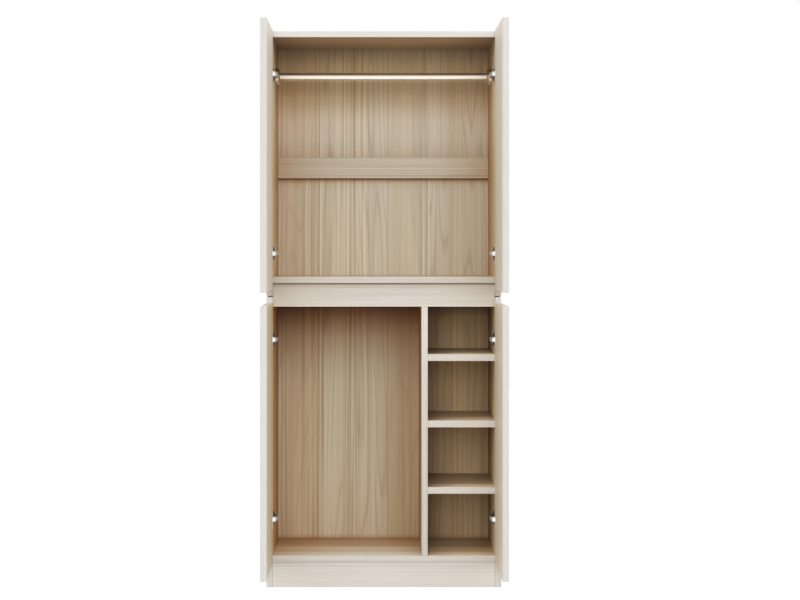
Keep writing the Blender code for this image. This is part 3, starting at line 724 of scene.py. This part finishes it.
def metal_finish(name, colour, roughness):
    """Plated metal with faint drawing marks and smears in its gloss."""
    finish, tree, shader = new_finish(name)
    place = frame_place(tree)
    smears = swing(tree, place, SMEARS)
    gloss = maths(tree, "ADD", maths(tree, "ADD", swing(tree, place, DRAWING_MARKS), smears), roughness)
    shader.inputs["Base Color"].default_value = (*colour, 1.0)
    shader.inputs["Metallic"].default_value = 1.0
    feed(tree, shader.inputs["Roughness"], gloss)
    feed(tree, shader.inputs["Normal"], bumped(tree, smears, *SMEAR_BUMP))
    return finish


def make_finishes():
    """Every oak and metal finish by the name of its place."""
    return {
        # Shades and corners paint light and shade on these oaks by place; the side, deep, divider, deep side,
        # column side, inside, shelf and ceiling oaks are also darker, warmer copies that paint the shade
        # inside the case
        "face": oak_finish("oak_face", FACE_OAK),
        "joint": oak_finish("oak_joint", JOINT_OAK),
        "fascia": oak_finish("oak_fascia", FACE_OAK, shade=[FASCIA_SHADE, FRONT_SHADE]),
        "floor_edge": oak_finish("oak_floor_edge", FACE_OAK, shade=[FRONT_SHADE]),
        "shaded_band": oak_finish("oak_side_edge", SIDE_EDGE_OAK, shade=[SIDE_EDGE_SHADE]),
        "plinth": oak_finish("oak_plinth", PLINTH_OAK, shade=[PLINTH_SHADE]),
        "door": oak_finish("oak_door_inside", DOOR_OAK),
        "lower_door": oak_finish(
            "oak_lower_door_inside", DOOR_OAK, shade=[LOWER_LEFT_DOOR_SHADE, LOWER_RIGHT_DOOR_SHADE]),
        "door_band": oak_finish("oak_door_band", DOOR_BAND_OAK),
        "band": oak_finish("oak_band", BAND_OAK),
        "side": oak_finish("oak_side_inside", SIDE_OAK, shade=[SIDE_SHADE, SIDE_HEIGHT_SHADE]),
        "deep": oak_finish("oak_deep_inside", DEEP_OAK),
        "divider": oak_finish("oak_divider", DEEP_OAK, shade=[DIVIDER_SHADE]),
        "deep_side": oak_finish("oak_deep_side", DEEP_SIDE_OAK, shade=[LOWER_SIDE_SHADE]),
        "column_side": oak_finish("oak_column_side", COLUMN_SIDE_OAK, shade=[COLUMN_SIDE_SHADE]),
        "inside": oak_finish("oak_inside", INSIDE_OAK),
        "shelf": oak_finish("oak_shelf", INSIDE_OAK, shade=[SHELF_SHADE, COLUMN_SHADE]),
        "ceiling": oak_finish("oak_ceiling", CEILING_OAK, shade=[CEILING_SHADE, CEILING_ACROSS_SHADE]),
        "floor": oak_finish(
            "oak_floor", FLOOR_OAK, shade=[BOTTOM_SHADE, COLUMN_FLOOR_SHADE, BOTTOM_ACROSS_SHADE]),
        "rail": oak_finish("oak_back_rail", BACK_RAIL_OAK, shade=[RAIL_ENDS_SHADE]),
        "back_upper": oak_finish(
            "oak_upper_back", UPPER_BACK_OAK, planks=PLANKS,
            shade=[UPPER_BACK_SHADE, UPPER_ACROSS_SHADE, HANGING_RAIL_SHADE, BACK_RAIL_SHADE],
            corners=UPPER_CORNER_SHADES),
        "back_lower": oak_finish(
            "oak_lower_back", LOWER_BACK_OAK, planks=PLANKS,
            shade=[LOWER_BACK_SHADE, LOWER_ACROSS_SHADE, BAY_TOP_SHADE, COLUMN_SHADE, COLUMN_TOP_SHADE, cubby_shade()],
            corners=BAY_CORNER_SHADES),
        "chrome": metal_finish("rail_chrome", *RAIL_METAL),
        # The socket's brown paints a reflection of the oak, the arm's dark nickel paints shade and the
        # knuckle's pale nickel paints light; the plates are near black
        "socket": metal_finish("socket_chrome", *SOCKET_METAL),
        "nickel": metal_finish("hinge_nickel", *HINGE_METAL),
        "arm": metal_finish("hinge_arm_nickel", *ARM_METAL),
        "plate": metal_finish("hinge_plate_nickel", *PLATE_METAL),
        "knuckle": metal_finish("hinge_knuckle_nickel", *KNUCKLE_METAL),
    }


def end_stations(start, end, low_joint, high_joint):
    """Stations along a board: a quarter round or the slope of a V joint at each end."""
    angles = np.radians(np.linspace(0, 90, EDGE_STEPS + 1))
    rounding = np.stack([END_ROUND * (1 - np.cos(angles)), END_ROUND * (1 - np.sin(angles))], axis=-1)
    slope = np.array([(0, V_JOINT_DEPTH), (V_JOINT_HEIGHT, 0)])
    first = slope if low_joint else rounding
    last = (slope if high_joint else rounding)[::-1]
    return np.concatenate([
        np.stack([start + first[:, 0], first[:, 1]], axis=-1),
        np.stack([end - last[:, 0], last[:, 1]], axis=-1),
    ])


def board(
        node, grain, finishes, body, offset, span=None, joints=(False, False), cuts=(),
        rounding=EDGE_RADIUS):
    """A board in a solid's place: its cross-section carried along the grain, with rounded edges.

    finishes are those of the low wide face, the high wide face, the edge bands, and the joint's slopes and
    cuts. The map named sheet holds each corner's metres across the grain, which run round the section, and
    along it.
    """
    low, high = (np.array(corner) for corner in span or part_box(node))
    first, second = (grain + 1) % 3, (grain + 2) % 3
    sizes = high - low
    stations = end_stations(low[grain], high[grain], *joints)
    rings = []
    for along, shrink in stations:
        radius = max(rounding - shrink, LEAST_RADIUS)
        outline = rounded_rectangle(
            low[[first, second]] + shrink, high[[first, second]] - shrink, radius, EDGE_STEPS)
        rings.append(at_height(outline, along))
    points, faces = loft(np.array(rings))
    outline = max(rings, key=lambda ring: np.ptp(ring[:, 0]))[:, :2]

    size = len(outline)
    strips = len(stations) - 1
    sides = np.arange(4) * (EDGE_STEPS + 1) + EDGE_STEPS
    thin_first = sizes[first] < sizes[second]
    high_side, low_side = sides[::2] if thin_first else sides[1::2]
    flats = np.full(size, EDGE_BAND)
    flats[high_side], flats[low_side] = HIGH_FACE, LOW_FACE
    longest = np.argmax(np.diff(stations[:, 0]))
    finish_of = np.full((strips, size), EDGE_BAND)
    finish_of[longest] = flats
    if joints[0]:
        finish_of[0] = CUT
    if joints[1]:
        finish_of[-1] = CUT
    smooth = np.ones((strips, size), bool)
    smooth[longest, sides] = False

    steps = np.linalg.norm(np.roll(outline, -1, axis=0) - outline, axis=1)
    round_section = np.concatenate([[0], np.cumsum(steps)])
    round_section -= round_section[-1] - steps[-1] / 2
    i, j = np.meshgrid(np.arange(strips), np.arange(size), indexing="ij")
    across = round_section[np.stack([j, j + 1, j + 1, j], axis=-1)].ravel()
    along = stations[:, 0][np.stack([i, i, i + 1, i + 1], axis=-1)].ravel()
    end_across, end_along = outline.T if thin_first else outline.T[::-1]
    across = np.concatenate([across, end_across[::-1], end_across]) + offset[0]
    along = np.concatenate([along, end_along[::-1], end_along]) + offset[1]

    axes = np.zeros((3, 3))
    axes[0, first] = axes[1, second] = axes[2, grain] = 1
    mesh = make_mesh(node, laid((points, faces), (0, 0, 0), axes))
    for finish in finishes:
        mesh.materials.append(finish)
    mesh.polygons.foreach_set("material_index", np.append(finish_of.ravel(), (EDGE_BAND, EDGE_BAND)))
    mesh.polygons.foreach_set("use_smooth", np.append(smooth.ravel(), (False, False)))
    sheet = mesh.uv_layers.new(name="sheet")
    sheet.data.foreach_set("uv", np.stack([across, along], axis=-1).astype(np.float32).ravel())
    made = make_object(f"{node}_board", mesh)
    if cuts:
        cut_away(made, cuts, finishes)
    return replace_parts(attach(made, body), node)


def cut_away(made, cuts, finishes):
    """Takes the cutting shapes out of a piece, leaving its last finish in the cuts, and keeps the result."""
    tools = [make_object("cutter", make_mesh("cutter", cut)) for cut in cuts]
    for tool in tools:
        for finish in finishes:
            tool.data.materials.append(finish)
        last = np.full(len(tool.data.polygons), len(finishes) - 1)
        tool.data.polygons.foreach_set("material_index", last)
        step = made.modifiers.new("cut", "BOOLEAN")
        step.operation = "DIFFERENCE"
        step.solver = "EXACT"
        step.object = tool
    graph = bpy.context.evaluated_depsgraph_get()
    mesh = bpy.data.meshes.new_from_object(made.evaluated_get(graph))
    made.modifiers.clear()
    made.data = mesh
    for tool in tools:
        bpy.data.objects.remove(tool)


def grown(node, by, reach=()):
    """A cutting box round a solid with some play, carried to far low and high limits on the axes named."""
    low, high = (np.array(corner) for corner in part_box(node))
    low, high = low - by, high + by
    for axis, far in reach:
        if far < 0:
            low[axis] = far
        else:
            high[axis] = far
    return box_shape(low, high)


def make_case(finishes):
    """Every board of the case: level boards and rails, sides with their V joint and groove, column, back."""
    face, inside, band = finishes["face"], finishes["inside"], finishes["band"]
    deep = finishes["deep"]
    levels = {
        "top_panel": (finishes["ceiling"], face),
        "upper_floor": (deep, inside),
        "bottom_panel": (face, finishes["floor"]),
        "shelf_bottom": (inside, finishes["shelf"]),
        "shelf_middle": (inside, finishes["shelf"]),
        "shelf_top": (inside, finishes["shelf"]),
        "mid_rail": (finishes["fascia"], deep),
        "rear_rail": (inside, inside),
        "back_rail": (finishes["rail"], inside),
        "plinth": (finishes["plinth"], inside),
        "rear_plinth": (inside, face),
    }
    edges = {
        "top_panel": finishes["door_band"],
        "bottom_panel": finishes["plinth"],
        "upper_floor": finishes["floor_edge"],
    }
    back_groove = grown("back_panel_upper", SEAT)
    rail_low, rail_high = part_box("mid_rail")
    quirk = box_shape(
        (-FAR, rail_low.y - SEAT, rail_high.z - QUIRK_HEIGHT),
        (FAR, rail_low.y + QUIRK_DEPTH, rail_high.z + SEAT))
    cuts = {"top_panel": [back_groove], "mid_rail": [quirk]}
    for i, (node, faces) in enumerate(levels.items()):
        rounding = TIGHT_RADIUS if node in ("plinth", "bottom_panel") else EDGE_RADIUS
        cut_finish = inside if node == "mid_rail" else finishes["joint"]
        board(
            node, X, (*faces, edges.get(node, band), cut_finish), "carcass", sheet_offset(i),
            cuts=cuts.get(node, []), rounding=rounding)

    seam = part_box("side_left_upper")[0].z
    grooves = {
        "lower": grown("back_panel_upper", SEAT, ((Z, -FAR), (Z, FAR))),
        "upper": grown("back_panel_upper", SEAT, ((Z, -FAR),)),
    }
    for i, side in enumerate(("left", "right")):
        for half, joints in (("lower", (False, True)), ("upper", (True, False))):
            node = f"side_{side}_{half}"
            low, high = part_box(node)
            inner, edge = finishes["side"], finishes["shaded_band"]
            if half == "lower":
                # The solid's dowels stand above the seam
                high.z = min(high.z, seam - SEAT)
                inner, edge = finishes["deep_side" if side == "left" else "column_side"], band
            faces = (face, inner) if side == "left" else (inner, face)
            board(
                node, Z, (*faces, edge, finishes["joint"]), "carcass", sheet_offset(len(levels) + i),
                span=(low, high), joints=joints, cuts=[grooves[half]])

    notches = [
        grown("mid_rail", SEAT, ((Y, -FAR), (Z, FAR))),
        grown("rear_rail", SEAT, ((Y, FAR), (Z, FAR))),
    ]
    divider = (finishes["divider"], inside, band)
    board("divider", Z, divider, "carcass", sheet_offset(len(levels) + 2), cuts=notches)
    for half in ("lower", "upper"):
        back = finishes[f"back_{half}"]
        board(f"back_panel_{half}", Z, (back, face, face), "carcass", (0, 0))


def sheet_offset(number):
    """Where a board's own place on the printed sheet begins, across and along."""
    return SHEET_STEP_ACROSS * (number + 1), SHEET_STEP_ALONG * (number + 1)


def make_doors(finishes):
    """Four doors, each bored for its two hinge cups."""
    bore = turned([(CUP_RADIUS + SEAT, height) for height in (-CUP_DEPTH - 2 * SEAT, CUP_DEPTH)], CUP_STEPS)
    for i, (tier, side) in enumerate((t, s) for t in ("upper", "lower") for s in ("left", "right")):
        where = f"{tier}_{side}"
        inward = 1 if side == "left" else -1
        bores = [
            laid(bore, cup_centre(f"hinge_cup_{where}_{end}", inward), cup_axes(inward))
            for end in ("grip", "end")
        ]
        outer, inner = finishes["face"], finishes["lower_door" if tier == "lower" else "door"]
        faces = (outer, inner) if side == "left" else (inner, outer)
        board(
            f"door_{where}", Z, (*faces, finishes["door_band"]), f"door_{where}",
            sheet_offset(FIRST_DOOR_SHEET + i), cuts=bores)


def cup_centre(node, inward):
    """The middle of a hinge cup, in the plane of its flange's seat on the door."""
    low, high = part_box(node)
    top = high.x if inward > 0 else low.x
    return top - inward * BEAD_TOP, (low.y + high.y) / 2, (low.z + high.z) / 2


def cup_axes(inward):
    """A cup's own axes: back towards the case, up, and out of the door's inner face."""
    return (0, 1, 0), (0, 0, 1), (inward, 0, 0)


def flange_reach(angles):
    """Radius of a long plate with round ends: its straight side over |cos|, or else its end circle."""
    c, s = np.abs(np.cos(angles)), np.abs(np.sin(angles))
    straight = FLANGE_HALF_WIDTH / np.maximum(c, TINY)
    middle = FLANGE_HALF_LENGTH - FLANGE_HALF_WIDTH
    inner = np.maximum(FLANGE_HALF_WIDTH ** 2 - (middle * c) ** 2, 0)
    return np.where(straight * s <= middle, straight, middle * s + np.sqrt(inner))


def screw_shape():
    """A low domed screw head with a cross recess: rings from its rim to the cross and down into it.

    The cross's radius is the larger of two bars', each the nearer of its end and side over |cos| and |sin|.
    """
    angles = turn(SCREW_STEPS) + math.pi / SCREW_STEPS
    c, s = np.abs(np.cos(angles)), np.abs(np.sin(angles))
    bar, half = (share * SCREW_RADIUS for share in SCREW_BAR)
    cross = np.maximum(np.minimum(bar / c, half / s), np.minimum(bar / s, half / c))
    profile = [(share * SCREW_RADIUS, height * SCREW_RADIUS) for share, height in SCREW_DOME]
    profile += [(share * cross, height * SCREW_RADIUS) for share, height in SCREW_RECESS]
    return turned(profile, SCREW_STEPS)


def cup_shape():
    """A pressed hinge cup: rings up its pot, round the rolled flange, over the bead and down into the well.

    The flange's outline is the larger of the long plate and the rim circle, and the well's is the smaller of
    a circle and a straight slot, all as radius over angle. Screws and the cup pins are added.
    """
    angles = turn(CUP_STEPS)
    outer = np.maximum(flange_reach(angles), RIM_RADIUS)
    well = np.minimum(WELL_RADIUS, WELL_HALF_WIDTH / np.maximum(np.abs(np.sin(angles)), TINY))
    bottom = -CUP_DEPTH - SEAT
    floor = bottom + CUP_FLOOR
    profile = [
        (CUP_RADIUS - POT_ROUND, bottom),
        (CUP_RADIUS, bottom + POT_ROUND),
        (CUP_RADIUS, 0.0),
        (outer, 0.0),
        *((outer - inset * FLANGE_ROLL, share * FLANGE_SHEET) for inset, share in ROLLED_EDGE),
        *((CUP_RADIUS + out, up) for out, up in BEAD),
        (well + WELL_LIP, FLANGE_SHEET),
        (well, WELL_TOP),
        (well, floor + WELL_ROUND),
        (well - WELL_ROUND, floor),
    ]
    shapes = [turned(profile, CUP_STEPS)]
    screw = screw_shape()
    pin_ends = (CUP_PIN_TIP, WELL_HALF_WIDTH + SEAT)
    pin = turned([(CUP_PIN_RADIUS, height) for height in pin_ends], CUP_PIN_STEPS)
    pin_place = (CUP_PIN_BACK, 0, -CUP_PIN_DEEP - SEAT)
    for hand in (-1, 1):
        shapes.append(laid(screw, (0, hand * FLANGE_SCREW_SPREAD, FLANGE_SHEET), np.eye(3)))
        shapes.append(laid(pin, pin_place, ((1, 0, 0), (0, 0, -hand), (0, hand, 0))))
    return joined(shapes)


def knuckle_shape():
    """A wide pressed plate in front of an inner link, with a narrow spine back to it.

    Its front line is the lower of a flank's slope and a face's slope along the link, rounded at the shoulder:
    half their sum less half the root of their difference squared plus the rounding squared. The section is
    that line and a line behind it, carried over the width; behind the spine it reaches the link.
    """
    start, start_out = KNUCKLE_START
    shoulder, shoulder_out = KNUCKLE_SHOULDER
    end, end_out = KNUCKLE_END
    along = np.linspace(start, end, KNUCKLE_STEPS)
    flank = start_out + (along - start) * (shoulder_out - start_out) / (shoulder - start)
    face = end_out + (end - along) * (shoulder_out - end_out) / (end - shoulder)
    front = (flank + face - np.sqrt((flank - face) ** 2 + KNUCKLE_ROUND ** 2)) / 2
    behind = front - KNUCKLE_SHEET
    spine = np.minimum(behind, np.interp(along, *zip(*LINK_MIDDLE)))
    half = [
        (KNUCKLE_HALF_WIDTH, KNUCKLE_EDGE, behind),
        (KNUCKLE_HALF_WIDTH - KNUCKLE_EDGE, 0, behind),
        (KNUCKLE_SPINE + SPINE_SLOPE, 0, behind),
        (KNUCKLE_SPINE, 0, spine),
    ]
    stations = [(-width, inset, back) for width, inset, back in half] + half[::-1]
    rings = []
    for height, inset, back in stations:
        section = np.concatenate([
            np.stack([along, back + inset], axis=-1),
            np.stack([along, front - inset], axis=-1)[::-1],
        ])
        rings.append(at_height(section, height))
    return loft(np.array(rings))


def knuckle_slots():
    """Boxes that cut a knuckle's two slots, from their start out past its end."""
    near, far = SLOT_SIDES
    out = KNUCKLE_SHOULDER[1] * 2
    past = KNUCKLE_END[0] * 2
    return [
        box_shape((SLOT_START, -out, low), (past, out, high)) for low, high in ((near, far), (-far, -near))
    ]


def plate_rise(share):
    """How far a mounting plate stands out at a share of its half height: less and less towards its tip."""
    return PLATE_SHEET + PLATE_RISE * (1 - share) ** PLATE_TAPER


def plate_shape():
    """A hinge arm's mounting plate: a rounded section carried up the side, wide and thick at the arm.

    Its heights follow the sine over most of a half turn, and its half width is the root of one less a power
    of the share of the half height.
    """
    heights = np.sin(np.linspace(-PLATE_TURN, PLATE_TURN, PLATE_STEPS) * math.pi)
    share = np.abs(heights)
    halves = PLATE_HALF_WIDTH * np.sqrt(1 - share ** PLATE_SQUARENESS)
    rings = [
        at_height(rounded_rectangle((-half, 0), (half, rise), PLATE_ROUND, EDGE_STEPS), height)
        for half, rise, height in zip(halves, plate_rise(share), heights * PLATE_HALF_HEIGHT)
    ]
    return loft(np.array(rings))


def make_hinges(finishes):
    """Cups in place of the plain ones, knuckles, mounting plates, screws, and finishes on arms and links."""
    cup, screw, plate = cup_shape(), screw_shape(), plate_shape()
    knuckle, slots = knuckle_shape(), knuckle_slots()
    wing_top = plate_rise(PLATE_SCREW_SPREAD / PLATE_HALF_HEIGHT)
    left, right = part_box("side_left_upper"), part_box("side_right_upper")
    case_front = left[0].y
    lean = math.radians(KNUCKLE_LEAN)
    for name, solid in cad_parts.items():
        if not name.startswith(("hinge_", "outer_link", "inner_link")):
            continue
        solid.data.materials.clear()
        solid.data.materials.append(finishes["arm" if name.startswith("hinge_arm") else "nickel"])
        inward = 1 if "_left_" in name else -1
        outer_face, inner_face = (left[0].x, left[1].x) if inward > 0 else (right[1].x, right[0].x)
        low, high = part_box(name)
        middle = (low.z + high.z) / 2
        if name.startswith("hinge_cup"):
            body = name.replace("hinge_cup", "door").rsplit("_", 1)[0]
            shape = laid(cup, cup_centre(name, inward), cup_axes(inward))
            metal_piece(f"{name}_pressed", shape, finishes["nickel"], body, name)
        if name.startswith("inner_link"):
            pin = (outer_face + inward * KNUCKLE_PIN[0], case_front - KNUCKLE_PIN[1], middle)
            axes = (
                (-inward * math.cos(lean), -math.sin(lean), 0),
                (inward * math.sin(lean), -math.cos(lean), 0),
                (0, 0, 1),
            )
            body = name.replace("inner_link", "inner_links").rsplit("_", 1)[0]
            metal_piece(
                f"{name}_knuckle", laid(knuckle, pin, axes), finishes["knuckle"], body,
                cuts=[laid(slot, pin, axes) for slot in slots])
        if name.startswith("hinge_arm"):
            foot = (inner_face + inward * SEAT, case_front + PLATE_BEHIND, middle)
            metal_piece(
                f"{name}_plate", laid(plate, foot, ((0, 1, 0), (inward, 0, 0), (0, 0, 1))), finishes["plate"],
                "carcass")
            top = high.x if inward > 0 else low.x
            spots = [(top, case_front + deep, middle) for deep in ARM_SCREW_PLACES]
            spots += [
                (foot[0] + inward * wing_top, foot[1], middle + hand * PLATE_SCREW_SPREAD) for hand in (-1, 1)
            ]
            heads = joined([laid(screw, spot, cup_axes(inward)) for spot in spots])
            metal_piece(f"{name}_screws", heads, finishes["nickel"], "carcass")


def make_rail(finishes):
    """The hanging rail, a tube turned about X, and its two end sockets, each domed by a quarter ellipse."""
    low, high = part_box("hanging_rail")
    radius = (high.z - low.z) / 2
    middle = (0, (low.y + high.y) / 2, (low.z + high.z) / 2)
    bore = radius - RAIL_WALL
    walls = [
        (radius - RAIL_LIP, low.x), (radius, low.x + RAIL_LIP), (radius, high.x - RAIL_LIP),
        (radius - RAIL_LIP, high.x), (bore, high.x), (bore, low.x),
    ]
    tube = laid(turned(walls, RAIL_STEPS, closed=True), middle, ((0, 1, 0), (0, 0, 1), (1, 0, 0)))
    metal_piece("hanging_rail_tube", tube, finishes["chrome"], "carcass", "hanging_rail")

    mouth = radius + SEAT
    crown = mouth + SOCKET_LIP
    quarter = np.linspace(0, math.pi / 2, SOCKET_DOME_STEPS)
    for side, inward in (("left", 1), ("right", -1)):
        node = f"rail_socket_{side}"
        low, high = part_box(node)
        rim = (high.z - low.z) / 2
        height = high.x - low.x
        dome = np.stack([
            crown + (rim - crown) * np.cos(quarter),
            SOCKET_RIM + (height - SOCKET_RIM) * np.sin(quarter),
        ], axis=-1)
        profile = [
            (rim - RAIL_LIP, 0.0), (rim, RAIL_LIP), *dome, (mouth + RAIL_LIP, height),
            (mouth, height - RAIL_LIP), (mouth, SOCKET_FLOOR),
        ]
        seat = (low.x if inward > 0 else high.x, middle[1], middle[2])
        socket = laid(turned(profile, RAIL_STEPS), seat, cup_axes(inward))
        metal_piece(f"{node}_dome", socket, finishes["socket"], "carcass", node)


def make_studio():
    """A white floor that keeps a faint shadow, a white surround and four soft lamps."""
    corners = FLOOR_REACH * np.array([(-1, -1, 0), (1, -1, 0), (1, 1, 0), (-1, 1, 0)])
    floor_mesh = make_mesh("studio_floor", (corners - (0, 0, FLOOR_DROP), [[0, 1, 2, 3]]))
    floor = make_object("studio_floor", floor_mesh)
    finish, tree, shader = new_finish("studio_floor")
    shader.inputs["Base Color"].default_value = FLOOR_GREY
    shader.inputs["Roughness"].default_value = 1.0
    shader.inputs["Specular IOR Level"].default_value = 0.0
    path = tree.nodes.new("ShaderNodeLightPath")
    seen, mirrored = path.outputs["Is Camera Ray"], path.outputs["Is Glossy Ray"]
    glow = tree.nodes.new("ShaderNodeEmission")
    feed(tree, glow.inputs["Strength"], maths(tree, "MULTIPLY_ADD", seen, FLOOR_GLOW, mirrored))
    both = tree.nodes.new("ShaderNodeAddShader")
    feed(tree, both.inputs[0], shader.outputs[0])
    feed(tree, both.inputs[1], glow.outputs[0])
    feed(tree, tree.nodes["Material Output"].inputs["Surface"], both.outputs[0])
    floor_mesh.materials.append(finish)

    world = bpy.data.worlds.new("studio")
    world.use_nodes = True
    bpy.context.scene.world = world
    tree = world.node_tree
    background = tree.nodes["Background"]
    background.inputs["Color"].default_value = SURROUND_WHITE
    feed(tree, background.inputs["Strength"], maths(tree, "MAXIMUM", seen_ray(tree), SURROUND_LIGHT))

    for name, place in LAMPS.items():
        soft_lamp(name, *place)


def seen_ray(tree):
    """One for rays that the camera, a reflection or clear material sends, else nought."""
    path = tree.nodes.new("ShaderNodeLightPath")
    seen = maths(tree, "MAXIMUM", path.outputs["Is Camera Ray"], path.outputs["Is Glossy Ray"])
    return maths(tree, "MAXIMUM", seen, path.outputs["Is Transmission Ray"])


def soft_lamp(name, turned, raised, spread, share):
    """A broad far lamp, turned to the right of the front and raised, in degrees, at a share of full white."""
    lamp = bpy.data.lights.new(name, "SUN")
    lamp.angle = math.radians(spread)
    lamp.energy = share * math.pi
    made = make_object(name, lamp)
    made.visible_glossy = False
    side, up = math.radians(turned), math.radians(raised)
    towards = Vector((-math.sin(side) * math.cos(up), math.cos(side) * math.cos(up), -math.sin(up)))
    made.rotation_euler = towards.to_track_quat("-Z", "Y").to_euler()


def make_camera():
    """A camera square to the front; its shift puts straight ahead where the picture has it."""
    camera = bpy.data.cameras.new("camera")
    camera.sensor_width = SENSOR_WIDTH
    camera.lens = FOCAL_POINTS * SENSOR_WIDTH / PICTURE_WIDTH
    camera.shift_x = (PICTURE_WIDTH / 2 - STRAIGHT_AHEAD[0]) / PICTURE_WIDTH
    camera.shift_y = (STRAIGHT_AHEAD[1] - PICTURE_HEIGHT / 2) / PICTURE_WIDTH
    made = make_object("camera", camera)
    made.location = CAMERA_PLACE
    made.rotation_euler = (math.pi / 2, 0, 0)
    bpy.context.scene.camera = made


finishes = make_finishes()
make_case(finishes)
make_doors(finishes)
make_rail(finishes)
make_hinges(finishes)
make_studio()
make_camera()
bpy.context.scene.view_settings.view_transform = "Standard"
